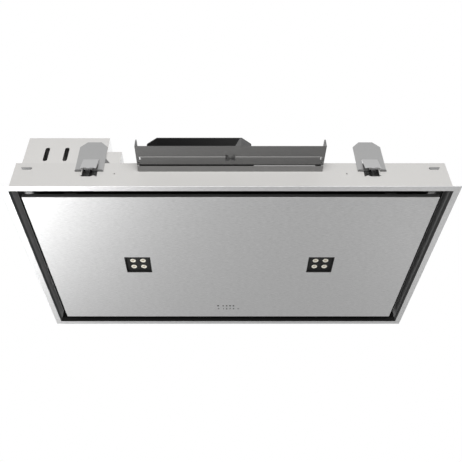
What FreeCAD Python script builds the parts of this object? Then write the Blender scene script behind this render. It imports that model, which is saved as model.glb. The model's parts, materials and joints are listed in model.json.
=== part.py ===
import FreeCAD, Part
import math
import os

# Ceiling range hood, millimetres. The ceiling's face is z = 0, +Z is up into the ceiling, the origin is the
# centre of the cut-out, +Y is the side where the cook stands and reads the touch marks.

# ---- rounds: small or repeated ones are regular prisms, so the whole stays light
round_sides = 10
motor_sides = 16
wheel_sides = 36

# ---- flange ring and housing box
flange_length = 1200.0
flange_depth = 690.0
flange_sheet = 0.8
flange_hem_height = 2.0       # closed hem: two sheets and the air between them
flange_hem_return = 12.5
flange_lip_height = 16.0      # the ring's inner edge, turned up inside the wall
flange_hem_radius = 0.7
housing_length = 1169.0
housing_depth = 659.0
housing_height = 101.5        # above the ceiling's face
housing_sheet = 1.0
housing_corner_radius = 1.2
wall_hole_radius = 2.0
wall_hole_inset = 272.5       # from the end of the wall
wall_hole_z = 60.5
lance_inset = 34.5            # tab lanced out near each end of the near wall
lance_root_z = 75.3
lance_length = 7.6
lance_angle = 60.0            # how far the tab leans out
lance_free_width = 28.4
lance_root_width = 20.5
cable_way_radius = 14.0       # hole for leads between the housing and the electronics box

# ---- black channel ring and the filters above it
shroud_sheet = 0.8
shroud_web_z = 42.0
shroud_web_width = 60.0
screw_access_radius = 7.0
tray_sheet = 1.0
tray_height = 20.0
tray_foot = 22.0
tray_stop_lip = 15.0
tray_mullion = 12.0
filter_gap = 2.0
filter_height = 16.0
filter_rim = 14.0
filter_rim_sheet = 1.2
filter_mesh_height = 10.0
filter_mesh_sheet = 0.8
filter_pleats = 14
filter_lug_width = 30.0
filter_lug_reach = 4.0
filter_lug_sheet = 2.0
lug_slot_clearance = 0.5
latch_travel = 6.0
latch_width = 24.0
latch_length = 46.0
latch_height = 2.2
latch_release = 1.5           # travel left when the nose has left its slot
latch_clearance = 0.35
latch_grip_height = 8.0
latch_grip_length = 6.0

# ---- panel
panel_gap = 27.4              # air channel between the ring and the panel
panel_z = 0.9                 # underside of the panel above the ceiling's face
panel_sheet = 0.8
panel_height = 12.6
panel_edge_radius = 0.7
backing_sheet = 0.8
lamp_y = 1.0
lamp_opening = 78.0
lamp_fit = 0.2
lamp_wall = 1.5
lamp_depth = 27.0
lamp_flange = 6.0
lamp_face_recess = 5.4
lamp_face_sheet = 1.5
lamp_fin_count = 8
lamp_fin_height = 9.0
lamp_fin_thickness = 1.6
lens_pitch = 30.4
lens_radius = 8.6
lens_fit = 0.1
lens_crown = 1.2
lens_guide = 2.0
lens_guide_margin = 2.0
touch_inset = 59.3            # marks inside the panel's far edge
touch_chip_width = 12.0
touch_chip_height = 2.0
touch_board_length = 104.0
touch_board_width = 40.0
touch_board_thickness = 1.6
touch_housing_wall = 1.5
touch_housing_height = 9.0

# ---- panel hinges and catches
hinge_end_inset = 125.3       # hinge inside the panel's end
hinge_inset = 10.3            # hinge axis inside the panel's edge
hinge_z = 25.0
hinge_pin_radius = 2.5
hinge_running_gap = 0.05
hinge_ear_radius = 6.0
hinge_ear_thickness = 3.0
hinge_ear_gap = 0.3
hinge_knuckle_width = 24.0
hinge_plate = 1.5
hinge_plate_reach = 14.0
hinge_leaf_length = 34.0
hinge_plate_side = 8.0
hinge_knuckle_wall = 2.2
hinge_stem = 5.0
hinge_pin_head = 2.0
catch_inset = 16.0
catch_length = 46.0
catch_width = 14.0
catch_plate = 1.5
catch_gap = 0.3

# ---- clamps
clamp_inset = 204.0           # clamp's middle inside the end of the wall
clamp_width = 76.5
clamp_sheet = 1.5
clamp_wall_gap = 0.5
clamp_foot_z = 68.0
clamp_top_z = 184.0
clamp_chamfer_x = 19.0
clamp_chamfer_z = 20.0
clamp_notch_width = 43.4
clamp_notch_top = 112.0
clamp_relief_radius = 1.3
clamp_foot_reach = 5.5
clamp_foot_chamfer = 3.0
clamp_tab_drop = 9.5          # tab below the housing's top
clamp_tab_sheet = 2.0
clamp_tab_width = 38.0
clamp_boss_radius = 6.0
clamp_boss_height = 4.0
window_width = 41.0
window_bottom = 50.3
window_top_drop = 3.0
window_shift = 2.0            # window nearer the middle than the clamp
window_slit_length = 5.6      # pointed slit at the window's outer lower corner
window_slit_height = 3.8
window_slit_rise = 1.8
window_tooth_width = 16.0     # pointed tooth on the window's lower edge
window_tooth_height = 4.3
window_tooth_inset = 9.5      # its point from the window's inner edge
tongue_width = 43.0
tongue_sheet = 0.8
tongue_top_z = 113.0
tongue_length = 49.0
tongue_angle = 15.4
tongue_gap = 0.35
tongue_notch_depth = 2.6
tongue_notch_width = 15.0
tongue_notch_offset = 10.4    # two notches leave a lobe between them
clamp_screw_radius = 3.0
clamp_screw_running_gap = 0.06
clamp_screw_inset = 13.0      # screw axis inside the wall's outer face
clamp_screw_head_radius = 5.0
clamp_screw_head_height = 4.0
clamp_screw_socket = 2.5      # half the width across flats, and the depth
clamp_screw_end_gap = 0.3
guide_sheet = 1.5
guide_width = 51.0
guide_depth = 24.0
guide_bottom_z = 44.5

# ---- shelf on the near wall
shelf_left = -249.0
shelf_right = 247.0
shelf_reach = 86.0
shelf_z = 71.0
shelf_sheet = 1.5
shelf_ear_height = 27.0
shelf_ear_round = 12.0
shelf_rear_height = 20.0
shelf_bead_inset = 51.5       # pressed bead, from the wall
shelf_bead_radius = 1.2
shelf_groove_radius = 0.84
shelf_bead_margin = 10.0
shelf_slot_inset = 22.0       # narrow slots, from the wall
shelf_slot_width = 1.8
shelf_slot_margin = 8.0
shelf_slot_break = (62.0, 225.0)
shelf_window_width = 26.0
shelf_window_depth = 21.0
shelf_window_inset = 48.5
shelf_tab_drop = 5.0
shelf_hole_radius = 2.0
shelf_end_holes = ((9.0, 46.0), (5.0, 31.0))
shelf_screw_x = 210.0
screw_radius = 2.1
screw_head_radius = 4.0
screw_head_height = 2.2

# ---- boxes on top
electronics_inset = 16.5
electronics_length = 227.5
electronics_depth = 170.0
electronics_height = 102.5
box_sheet = 1.0
slot_width = 12.4
slot_height = 54.0
slot_first_inset = 59.5       # from the box's outer end
slot_pitch = 54.4
slot_middle_height = 35.5     # above the housing's top
junction_width = 40.0
junction_gap = 0.5
junction_depth = 45.0
junction_height = 45.0
gusset_width = 12.7
gusset_height = 17.0
gland_bore = 4.0
gland_hex = 9.0
gland_length = 18.0
gland_height = 62.0
gland_inset = 40.0
gland_thread = 7.5
gland_hex_height = 6.0
gland_nut_height = 4.0
gland_dome_chamfer = 1.5
board_length = 150.0
board_width = 100.0
board_thickness = 1.6
board_standoff = 6.0
standoff_radius = 3.0
board_side_gap = 12.0
board_near_gap = 30.0
transformer = (40.0, 36.0, 32.0)
relay = (16.0, 28.0, 15.0)
relay_pitch = 22.0
relay_count = 3
capacitor_radius = 9.0
capacitor_height = 25.0
capacitor_pitch = 26.0
terminal_length = 52.0
terminal_width = 20.0
terminal_height = 16.0
terminal_well_radius = 3.0
terminal_well_depth = 6.0
terminal_far_gap = 30.0
driver_length = 90.0
driver_width = 40.0
driver_height = 22.0
driver_chamfer = 3.0
box_side_gap = 12.0           # from the box's outer end to the terminals and the driver
terminal_poles = 5

# ---- blower
mouth_left = -234.0
mouth_right = 59.5
casing_height = 104.3
casing_wall = 2.0
casing_chamfer = 26.0
impeller_y = -60.0
scroll_start = 128.0
scroll_end = 176.0
scroll_steps = 12
impeller_radius = 115.0
impeller_blade_inner = 95.0
impeller_blades = 36
impeller_blade_sheet = 1.2
impeller_floor_gap = 8.5
impeller_height = 74.0
blade_lean = 4.0              # degrees, foot to tip
blade_hook = 3.0
blade_bow = 1.6
impeller_disc = 2.0
impeller_ring = 2.0
impeller_ring_height = 4.0
impeller_collar = 3.0
impeller_collar_height = 18.0
eye_radius = 104.0
inlet_throat_radius = 91.0
inlet_sheet = 1.5
inlet_rim = 8.0
inlet_overlap = 3.0
inlet_steps = 2
rotor_radius = 45.0
rotor_wall = 3.0
rotor_corner = 3.0
rotor_hub_wall = 5.0
rotor_hub_height = 9.0
rotor_height = 50.0
rotor_proud = 2.0             # above the wheel
stator_air_gap = 0.8
stator_rise = 20.0            # above the rotor's floor
stator_stack = 26.0
winding_radius = 34.0
winding_height = 6.0
shaft_radius = 4.0
shaft_running_gap = 0.05
bearing_radius = 11.0
bearing_height = 7.0
bearing_tube_wall = 3.0
bearing_end_gap = 4.0
shaft_below = 2.0
shaft_above = 3.0
motor_plate_radius = 60.0
motor_plate_thickness = 3.5
motor_screw_pcd = 100.0
motor_screw_count = 4

# ---- backdraught flaps
flap_y = -186.0
flap_post_radius = 3.0
flap_running_gap = 0.06
flap_barrel_wall = 2.0
flap_sheet = 1.5
flap_clearance = 0.7
flap_middle_gap = 0.6

# ---- places worked out from the sizes above
flange_x = flange_length / 2
flange_y = flange_depth / 2
wall_x = housing_length / 2
wall_y = housing_depth / 2
inner_x = wall_x - housing_sheet
inner_y = wall_y - housing_sheet
lip_x = inner_x - flange_sheet
lip_y = inner_y - flange_sheet
flange_z = -flange_hem_height
panel_x = lip_x - panel_gap
panel_y = lip_y - panel_gap
panel_top = panel_z + panel_height
lamp_x = panel_x / 2
touch_y = panel_y - touch_inset
hinge_x = panel_x - hinge_end_inset
catch_x = hinge_x
latch_reach = latch_travel - latch_release
wall_hole_x = wall_x - wall_hole_inset
lance_x = wall_x - lance_inset
clamp_x = wall_x - clamp_inset
window_x = clamp_x - window_shift
window_top = housing_height - window_top_drop
clamp_tab_z = housing_height - clamp_tab_drop
web_x = inner_x - shroud_web_width
web_y = inner_y - shroud_web_width
web_top = shroud_web_z + shroud_sheet
tray_top = web_top + tray_height
hinge_y = -(panel_y - hinge_inset)
catch_y = panel_y - catch_inset
screw_y = -(wall_y - clamp_screw_inset)
clamp_y = -(wall_y + clamp_wall_gap)
tongue_y = clamp_y - clamp_sheet - tongue_gap - tongue_sheet / 2
impeller_x = mouth_left + casing_wall + scroll_end
mouth_y = -wall_y
casing_floor = housing_height
casing_top = casing_floor + casing_height
eye_floor = casing_floor + casing_wall
impeller_bottom = eye_floor + impeller_floor_gap
impeller_top = impeller_bottom + impeller_height
rotor_top = impeller_top + rotor_proud
rotor_bottom = rotor_top - rotor_height
stator_bottom = rotor_bottom + stator_rise
stator_top = stator_bottom + stator_stack
motor_plate_z = casing_top - casing_wall - motor_plate_thickness
electronics_left = -wall_x + electronics_inset
electronics_right = electronics_left + electronics_length
electronics_top = housing_height + electronics_height
slot_first_x = electronics_left + slot_first_inset
slot_middle_z = housing_height + slot_middle_height
gland_x = electronics_left + gland_inset
junction_left = electronics_right + junction_gap

os.makedirs("parts", exist_ok=True)


def vec(x, y, z):
    return FreeCAD.Vector(x, y, z)


def block(x0, x1, y0, y1, z0, z1):
    return Part.makeBox(x1 - x0, y1 - y0, z1 - z0, vec(x0, y0, z0))


def prism(points, push):
    """Extrudes a closed outline of straight edges."""
    corners = [vec(*p) for p in points]
    return Part.Face(Part.makePolygon(corners + corners[:1])).extrude(vec(*push))


def regular(radius, sides, bore):
    """A regular outline whose corners lie on the radius, or whose flats do when it is a bore."""
    reach = radius / math.cos(math.pi / sides) if bore else radius
    angles = [math.pi * (2 * i + 1) / sides for i in range(sides)]
    return [(reach * math.cos(a), reach * math.sin(a)) for a in angles]


def pin(foot, length, radius, way):
    """A true round, for what something turns on."""
    return Part.makeCylinder(radius, length, vec(*foot), vec(*way))


def post(x, y, z0, z1, radius, sides=round_sides, bore=False):
    return prism([(x + a, y + b, z0) for a, b in regular(radius, sides, bore)], (0, 0, z1 - z0))


def rod_x(x0, x1, y, z, radius, bore=False):
    return prism([(x0, y + a, z + b) for a, b in regular(radius, round_sides, bore)], (x1 - x0, 0, 0))


def rod_y(x, y0, y1, z, radius, sides=round_sides, bore=False):
    return prism([(x + a, y0, z + b) for a, b in regular(radius, sides, bore)], (0, y1 - y0, 0))


def lathe(points, x, y, sides):
    """Turns a closed (r, z) outline about the vertical through x, y, in equal flats."""
    angles = [math.pi * (2 * i + 1) / sides for i in range(sides)]
    rows = [[vec(x + r * math.cos(a), y + r * math.sin(a), z) for a in angles] for r, z in points]
    faces = []
    for here, there in zip(rows, rows[1:] + rows[:1]):
        for i in range(sides):
            j = (i + 1) % sides
            corners = [here[i], here[j], there[j], there[i]]
            faces.append(Part.Face(Part.makePolygon(corners + corners[:1])))
    solid = Part.Solid(Part.Shell(faces))
    if solid.Volume < 0:
        solid.reverse()
    return solid


def ring(out_x, out_y, in_x, in_y, z0, z1):
    """A rectangular ring centred on the cut-out."""
    return block(-out_x, out_x, -out_y, out_y, z0, z1).cut(
        block(-in_x, in_x, -in_y, in_y, z0 - 1, z1 + 1))


def fuse(shapes):
    return shapes[0].multiFuse(shapes[1:]).removeSplitter()


def group(shapes):
    return Part.makeCompound(shapes)


def turned(shape, degrees):
    """A copy turned about the vertical through the origin."""
    copy = shape.copy()
    copy.rotate(vec(0, 0, 0), vec(0, 0, 1), degrees)
    return copy


def moved(shape, x, y, z):
    copy = shape.copy()
    copy.translate(vec(x, y, z))
    return copy


def edges_where(shape, test):
    return [e for e in shape.Edges if test(e.BoundBox)]


def flat(low, high, value, tolerance=0.01):
    return abs(low - value) < tolerance and abs(high - value) < tolerance


def save(name, shape):
    bad = [s for s in shape.Solids if not s.isValid()]
    print(name, "solids", len(shape.Solids), "volume", round(shape.Volume), "invalid" if bad else "")
    shape.exportStep("parts/" + name + ".step")


# ---------------------------------------------------------------- housing
def flange_frame():
    """Ring with a closed hem outside and a lip turned up inside the wall."""
    low = ring(flange_x, flange_y, lip_x, lip_y, flange_z, flange_z + flange_sheet)
    edge = ring(flange_x, flange_y, flange_x - flange_sheet, flange_y - flange_sheet, flange_z, 0)
    back = ring(flange_x, flange_y, flange_x - flange_hem_return, flange_y - flange_hem_return,
                -flange_sheet, 0)
    lip = ring(inner_x, inner_y, lip_x, lip_y, flange_z, flange_z + flange_lip_height)
    body = fuse([low, edge, back, lip])

    def on_hem(b):
        along_x = flat(b.YMin, b.YMax, flange_y) or flat(b.YMin, b.YMax, -flange_y)
        along_y = flat(b.XMin, b.XMax, flange_x) or flat(b.XMin, b.XMax, -flange_x)
        level = flat(b.ZMin, b.ZMax, flange_z) or flat(b.ZMin, b.ZMax, 0)
        return level and (along_x or along_y)
    return body.makeFillet(flange_hem_radius, edges_where(body, on_hem))


def lance(x):
    """Trapezoid cut through the near wall, and the tab that leans out from its lower edge."""
    root = lance_root_width / 2
    free = lance_free_width / 2
    top = lance_root_z + lance_length

    def sheet(y, thickness):
        return prism([(x - root, y, lance_root_z), (x + root, y, lance_root_z), (x + free, y, top),
                      (x - free, y, top)], (0, thickness, 0))
    tab = sheet(-wall_y, housing_sheet)
    tab.rotate(vec(x, -wall_y + housing_sheet / 2, lance_root_z), vec(1, 0, 0), lance_angle)
    return sheet(-wall_y - 1, housing_sheet + 2), tab


def clamp_centres():
    """The four clamps: name, x of the clamp when built at the near wall, and its turn."""
    return [("near_left", -clamp_x, 0), ("near_right", clamp_x, 0),
            ("far_right", -clamp_x, 180), ("far_left", clamp_x, 180)]


def clamp_window(side):
    """Opening behind a clamp, with a pointed slit at its outer corner and a tooth on its lower edge."""
    y = -wall_y - 1
    through = (0, housing_sheet + 2, 0)
    outer = side * (window_x + window_width / 2)
    inner = side * (window_x - window_width / 2)
    point = inner + side * window_tooth_inset
    foot = side * window_tooth_width / 2
    slit = window_bottom + window_slit_rise
    return prism([(inner, y, window_bottom), (inner, y, window_top), (outer, y, window_top),
                  (outer, y, slit + window_slit_height),
                  (outer + side * window_slit_length, y, slit + window_slit_height / 2),
                  (outer, y, slit), (outer, y, window_bottom), (point + foot, y, window_bottom),
                  (point, y, window_bottom + window_tooth_height), (point - foot, y, window_bottom)],
                 through)


def housing_shell():
    outer = block(-wall_x, wall_x, -wall_y, wall_y, flange_z + flange_sheet, housing_height)
    upright = edges_where(outer, lambda b: b.ZLength > housing_height / 2)
    outer = outer.makeFillet(housing_corner_radius, upright)
    inside = block(-inner_x, inner_x, -inner_y, inner_y, flange_z, housing_height - housing_sheet)
    shell = outer.cut(inside)
    low = housing_height - 2 * housing_sheet
    cuts = [post(impeller_x, impeller_y, low, housing_height + 1, eye_radius, wheel_sides, True),
            post((electronics_left + electronics_right) / 2, -wall_y + electronics_depth / 2,
                 low, housing_height + 1, cable_way_radius)]
    tabs = []
    for side in (-1, 1):
        hole, tab = lance(side * lance_x)
        cuts.append(hole)
        tabs.append(tab)
        cuts.append(rod_y(side * wall_hole_x, -wall_y - 1, -inner_y + 1, wall_hole_z, wall_hole_radius))
    for name, x, turn in clamp_centres():
        cuts.append(turned(clamp_window(math.copysign(1, x)), turn))
    return shell.cut(group(cuts)).multiFuse(tabs)


def perimeter_shroud():
    leg = ring(inner_x, inner_y, inner_x - shroud_sheet, inner_y - shroud_sheet,
               flange_z + flange_lip_height, web_top)
    web = ring(inner_x, inner_y, web_x, web_y, shroud_web_z, web_top)
    body = leg.fuse(web).removeSplitter()
    holes = [turned(post(x, screw_y, shroud_web_z - 1, web_top + 1, screw_access_radius), turn)
             for name, x, turn in clamp_centres()]
    return body.cut(group(holes))


# ---------------------------------------------------------------- filters
def filter_span(side):
    """Plan of one filter: x0, x1, y0, y1."""
    near_middle = tray_mullion / 2 + filter_gap
    far_out = web_x - tray_sheet - filter_gap
    half = web_y - tray_sheet - filter_gap
    if side < 0:
        return -far_out, -near_middle, -half, half
    return near_middle, far_out, -half, half


filter_z0 = tray_top - tray_sheet - filter_height
filter_z1 = tray_top - tray_sheet


def lug_boxes(side, grow):
    """Two fixed lugs on the filter's far edge, which rest in slots of the tray wall."""
    x0, x1, y0, y1 = filter_span(side)
    low = filter_z0 + 3.0
    out = []
    for share in (0.25, 0.75):
        x = x0 + share * (x1 - x0)
        out.append(block(x - filter_lug_width / 2 - grow, x + filter_lug_width / 2 + grow,
                         y1 - filter_rim_sheet / 2 if grow == 0 else y1,
                         y1 + filter_lug_reach + grow, low - grow, low + filter_lug_sheet + grow))
    return out


def latch_middle(side):
    x0, x1, y0, y1 = filter_span(side)
    return (x0 + x1) / 2, y0


def latch_slot(side):
    """Slot in the tray's near wall for the latch's nose."""
    x, y0 = latch_middle(side)
    return block(x - latch_width / 2 - latch_clearance, x + latch_width / 2 + latch_clearance,
                 y0 - latch_reach - latch_clearance, y0 - filter_gap + latch_clearance,
                 filter_z0 - latch_height - 2 * latch_clearance, filter_z0)


def filter_tray():
    foot = ring(web_x + tray_foot, web_y + tray_foot, web_x - tray_sheet, web_y - tray_sheet,
                web_top, web_top + tray_sheet)
    wall = ring(web_x, web_y, web_x - tray_sheet, web_y - tray_sheet, web_top, tray_top)
    stop = ring(web_x, web_y, web_x - tray_stop_lip, web_y - tray_stop_lip, tray_top - tray_sheet, tray_top)
    half = tray_mullion / 2
    sides = [block(s * half - tray_sheet / 2, s * half + tray_sheet / 2, -web_y, web_y, web_top, tray_top)
             for s in (-1, 1)]
    cap = block(-half - tray_stop_lip, half + tray_stop_lip, -web_y, web_y, tray_top - tray_sheet, tray_top)
    base = block(-half, half, -web_y, web_y, web_top, web_top + tray_sheet)
    body = fuse([foot, wall, stop, cap, base] + sides)
    cuts = []
    for side in (-1, 1):
        cuts += lug_boxes(side, lug_slot_clearance)
        cuts.append(latch_slot(side))
    return body.cut(group(cuts))


def filter_frame(side):
    """Aluminium channel frame round the mesh."""
    x0, x1, y0, y1 = filter_span(side)
    body = block(x0, x1, y0, y1, filter_z0, filter_z1)
    way = block(x0 + filter_rim, x1 - filter_rim, y0 + filter_rim, y1 - filter_rim,
                filter_z0 - 1, filter_z1 + 1)
    seat = block(x0 + filter_rim_sheet, x1 - filter_rim_sheet, y0 + filter_rim_sheet, y1 - filter_rim_sheet,
                 filter_z0 + filter_rim_sheet, filter_z1 - filter_rim_sheet)
    body = body.cut(way).cut(seat)
    rib = block((x0 + x1) / 2 - 4, (x0 + x1) / 2 + 4, y0, y1, filter_z0, filter_z0 + filter_rim_sheet)
    return fuse([body, rib] + lug_boxes(side, 0))


def filter_meshes():
    """One pleated sheet of expanded mesh for each filter, clipped between the frame's flanges."""
    out = []
    for side in (-1, 1):
        x0, x1, y0, y1 = filter_span(side)
        low = filter_z0 + filter_rim_sheet
        high = low + filter_mesh_height - filter_mesh_sheet
        start = x0 + filter_rim_sheet
        pitch = (x1 - filter_rim_sheet - start) / filter_pleats
        line = []
        for i in range(filter_pleats):
            line.append((start + i * pitch, low))
            line.append((start + (i + 0.5) * pitch, high))
        line.append((start + filter_pleats * pitch, low))
        outline = [(x, y0 + filter_rim_sheet, z) for x, z in line]
        outline += [(x, y0 + filter_rim_sheet, z + filter_mesh_sheet) for x, z in reversed(line)]
        out.append(prism(outline, (0, y1 - y0 - 2 * filter_rim_sheet, 0)))
    return group(out)


def filter_latch(side):
    """Sprung slide under the filter's near rim, with a finger grip."""
    x, y0 = latch_middle(side)
    top = filter_z0 - latch_clearance
    nose = y0 - latch_reach
    slide = block(x - latch_width / 2, x + latch_width / 2, nose, nose + latch_length,
                  top - latch_height, top)
    back = nose + latch_length
    grip = block(x - latch_width / 2, x + latch_width / 2, back - latch_grip_length, back,
                 top - latch_height - latch_grip_height, top)
    body = fuse([slide, grip])
    corners = edges_where(body, lambda b: b.ZLength > latch_height / 2 and flat(b.YMin, b.YMax, nose))
    body = body.makeChamfer(latch_height, corners)
    hollow = rod_x(x - latch_width / 2 - 1, x + latch_width / 2 + 1, back + 1,
                   top - latch_height - latch_grip_height / 2, latch_grip_height / 3)
    return body.cut(hollow)


# ---------------------------------------------------------------- panel
def panel_skin():
    outer = block(-panel_x, panel_x, -panel_y, panel_y, panel_z, panel_top)

    def low_edge(b):
        return flat(b.ZMin, b.ZMax, panel_z)
    outer = outer.makeFillet(panel_edge_radius, edges_where(outer, low_edge))
    in_x = panel_x - panel_sheet
    in_y = panel_y - panel_sheet
    inside = block(-in_x, in_x, -in_y, in_y, panel_z + panel_sheet, panel_top + 1)
    half = lamp_opening / 2
    holes = [block(s * lamp_x - half, s * lamp_x + half, lamp_y - half, lamp_y + half,
                   panel_z - 1, panel_z + 2) for s in (-1, 1)]
    return outer.cut(inside).cut(group(holes))


def panel_backing():
    """Inverted steel pan that closes the panel from above."""
    out_x = panel_x - panel_sheet
    out_y = panel_y - panel_sheet
    low = panel_z + panel_sheet
    body = block(-out_x, out_x, -out_y, out_y, low, panel_top)
    body = body.cut(block(-out_x + backing_sheet, out_x - backing_sheet, -out_y + backing_sheet,
                          out_y - backing_sheet, low - 1, panel_top - backing_sheet))
    half = lamp_opening / 2 - lamp_fit
    cuts = [block(s * lamp_x - half, s * lamp_x + half, lamp_y - half, lamp_y + half,
                  low, panel_top + 1) for s in (-1, 1)]
    return body.cut(group(cuts))


def lamp_housing(side):
    """Square tray open below, with a flange on the backing and cooling fins on top."""
    x = side * lamp_x
    half = lamp_opening / 2 - lamp_fit
    low = panel_z + panel_sheet / 2
    top = low + lamp_depth - lamp_fin_height
    body = block(x - half, x + half, lamp_y - half, lamp_y + half, low, top)
    hollow = half - lamp_wall
    body = body.cut(block(x - hollow, x + hollow, lamp_y - hollow, lamp_y + hollow, low - 1, top - lamp_wall))
    wide = half + lamp_flange
    seat = block(x - wide, x + wide, lamp_y - wide, lamp_y + wide, panel_top, panel_top + lamp_wall)
    seat = seat.cut(block(x - hollow, x + hollow, lamp_y - hollow, lamp_y + hollow,
                          panel_top - 1, panel_top + lamp_wall + 1))
    fins = []
    step = (2 * half - lamp_fin_thickness) / (lamp_fin_count - 1)
    for i in range(lamp_fin_count):
        fin_x = x - half + i * step
        fins.append(block(fin_x, fin_x + lamp_fin_thickness, lamp_y - half, lamp_y + half,
                          top - lamp_wall, top + lamp_fin_height))
    return fuse([body, seat] + fins)


def lens_centres(side):
    return [(side * lamp_x + i * lens_pitch / 2, lamp_y + j * lens_pitch / 2)
            for i in (-1, 1) for j in (-1, 1)]


lamp_face_z = panel_z + lamp_face_recess


def lamp_faceplate(side):
    x = side * lamp_x
    half = lamp_opening / 2 - lamp_fit - lamp_wall
    plate = block(x - half, x + half, lamp_y - half, lamp_y + half,
                  lamp_face_z, lamp_face_z + lamp_face_sheet)
    holes = [post(cx, cy, lamp_face_z - 1, lamp_face_z + lamp_face_sheet + 1, lens_radius + lens_fit)
             for cx, cy in lens_centres(side)]
    return plate.cut(group(holes))


def lamp_lenses(side):
    """Four lenses, each with a chamfered crown below, on a common light guide."""
    base_z = lamp_face_z + lamp_face_sheet
    low = lamp_face_z - lens_crown
    lens = post(0, 0, low, base_z, lens_radius)
    lens = lens.makeChamfer(lens_crown, edges_where(lens, lambda b: flat(b.ZMin, b.ZMax, low)))
    half = lens_pitch / 2 + lens_radius + lens_guide_margin
    guide = block(side * lamp_x - half, side * lamp_x + half, lamp_y - half, lamp_y + half,
                  base_z, base_z + lens_guide)
    return fuse([guide] + [moved(lens, cx, cy, 0) for cx, cy in lens_centres(side)])


def touch_board():
    low = panel_z + panel_sheet
    half = touch_board_length / 2
    board = block(-half, half, touch_y - touch_board_width / 2, touch_y + touch_board_width / 2,
                  low, low + touch_board_thickness)
    top = low + touch_board_thickness
    chip = block(-half / 4, half / 4, touch_y - touch_chip_width / 2, touch_y + touch_chip_width / 2,
                 top, top + touch_chip_height)
    return fuse([board, chip])


def touch_housing():
    low = panel_z + panel_sheet + touch_board_thickness
    half = touch_board_length / 2
    deep = touch_board_width / 2
    top = low + touch_housing_height
    body = block(-half, half, touch_y - deep, touch_y + deep, low, top)
    inner = block(-half + touch_housing_wall, half - touch_housing_wall, touch_y - deep + touch_housing_wall,
                  touch_y + deep - touch_housing_wall, low - 1, top - touch_housing_wall)
    return body.cut(inner)


# ---------------------------------------------------------------- hinges and catches
def hinge_bracket(x):
    """Plate under the shroud's web with two ears round the pin."""
    y = hinge_y
    out = hinge_knuckle_width / 2 + hinge_ear_gap + hinge_ear_thickness
    plate = block(x - out - hinge_plate_side, x + out + hinge_plate_side, y - hinge_plate_reach,
                  y + hinge_plate_reach,
                  shroud_web_z - hinge_plate, shroud_web_z)
    ears = []
    for side in (-1, 1):
        x0 = x + side * (hinge_knuckle_width / 2 + hinge_ear_gap)
        a, b = sorted((x0, x0 + side * hinge_ear_thickness))
        ears.append(block(a, b, y - hinge_ear_radius, y + hinge_ear_radius, hinge_z, shroud_web_z))
        ears.append(rod_x(a, b, y, hinge_z, hinge_ear_radius, True))
    body = fuse([plate] + ears)
    return body.cut(rod_x(x - out - 1, x + out + 1, y, hinge_z, hinge_pin_radius, True))


def hinge_pin(x):
    out = hinge_knuckle_width / 2 + hinge_ear_gap + hinge_ear_thickness
    shank = pin((x - out, hinge_y, hinge_z), 2 * out, hinge_pin_radius, (1, 0, 0))
    head = rod_x(x + out, x + out + hinge_pin_head, hinge_y, hinge_z,
                 hinge_pin_radius + hinge_knuckle_wall / 2)
    return fuse([shank, head])


def hinge_leaf(x):
    """Leaf on the backing whose knuckle turns on the pin."""
    half = hinge_knuckle_width / 2
    y0 = -panel_y + panel_sheet
    plate = block(x - half, x + half, y0, y0 + hinge_leaf_length, panel_top, panel_top + hinge_plate)
    stem = block(x - half, x + half, hinge_y - hinge_stem / 2, hinge_y + hinge_stem / 2, panel_top, hinge_z)
    knuckle = rod_x(x - half, x + half, hinge_y, hinge_z, hinge_pin_radius + hinge_knuckle_wall)
    bore = rod_x(x - half - 1, x + half + 1, hinge_y, hinge_z, hinge_pin_radius + hinge_running_gap, True)
    return fuse([plate, stem, knuckle]).cut(bore)


def catch_magnet(x):
    low = panel_top + catch_plate + catch_gap
    body = block(x - catch_length / 2, x + catch_length / 2, catch_y - catch_width / 2,
                 catch_y + catch_width / 2, low, shroud_web_z)
    return body.makeChamfer(catch_plate, edges_where(body, lambda b: b.ZLength > catch_width))


def catch_strike(x):
    out = catch_length / 2 + 4
    return block(x - out, x + out, catch_y - catch_width / 2, catch_y + catch_width / 2,
                 panel_top, panel_top + catch_plate)


# ---------------------------------------------------------------- clamps, built at the near wall about x
def clamp_plate(x):
    half = clamp_width / 2
    notch = clamp_notch_width / 2
    y_out = clamp_y - clamp_sheet
    outline = [(x - half, y_out, clamp_foot_z), (x + half, y_out, clamp_foot_z),
               (x + half, y_out, clamp_top_z - clamp_chamfer_z),
               (x + half - clamp_chamfer_x, y_out, clamp_top_z),
               (x - half + clamp_chamfer_x, y_out, clamp_top_z),
               (x - half, y_out, clamp_top_z - clamp_chamfer_z)]
    plate = prism(outline, (0, clamp_sheet, 0))
    cut = block(x - notch, x + notch, y_out - 1, clamp_y + 1, clamp_foot_z - 1, clamp_notch_top)
    relief = [rod_y(x + s * notch, y_out - 1, clamp_y + 1, clamp_notch_top, clamp_relief_radius)
              for s in (-1, 1)]
    plate = plate.cut(cut).cut(group(relief))
    feet = []
    for side in (-1, 1):
        a, b = sorted((x + side * notch, x + side * half))
        foot = block(a, b, y_out - clamp_foot_reach, y_out, clamp_foot_z, clamp_foot_z + clamp_sheet)
        corner = edges_where(foot, lambda e: e.ZLength > clamp_sheet / 2 and flat(e.YMin, e.YMax,
                                                                                 y_out - clamp_foot_reach))
        feet.append(foot.makeChamfer(clamp_foot_chamfer, corner))
    top = clamp_tab_z + clamp_tab_sheet
    bar = block(x - notch, x + notch, y_out, clamp_y, clamp_tab_z, top)
    reach = screw_y + clamp_boss_radius + clamp_tab_sheet
    middle = math.copysign(window_x, x)
    tab = block(middle - clamp_tab_width / 2, middle + clamp_tab_width / 2, clamp_y, reach, clamp_tab_z, top)
    boss = post(x, screw_y, clamp_tab_z, top + clamp_boss_height, clamp_boss_radius, 6)
    body = fuse([plate, bar, tab, boss] + feet)
    thread = post(x, screw_y, clamp_tab_z - 1, clamp_top_z, clamp_screw_radius + clamp_screw_running_gap,
                  bore=True)
    return body.cut(thread)


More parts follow.
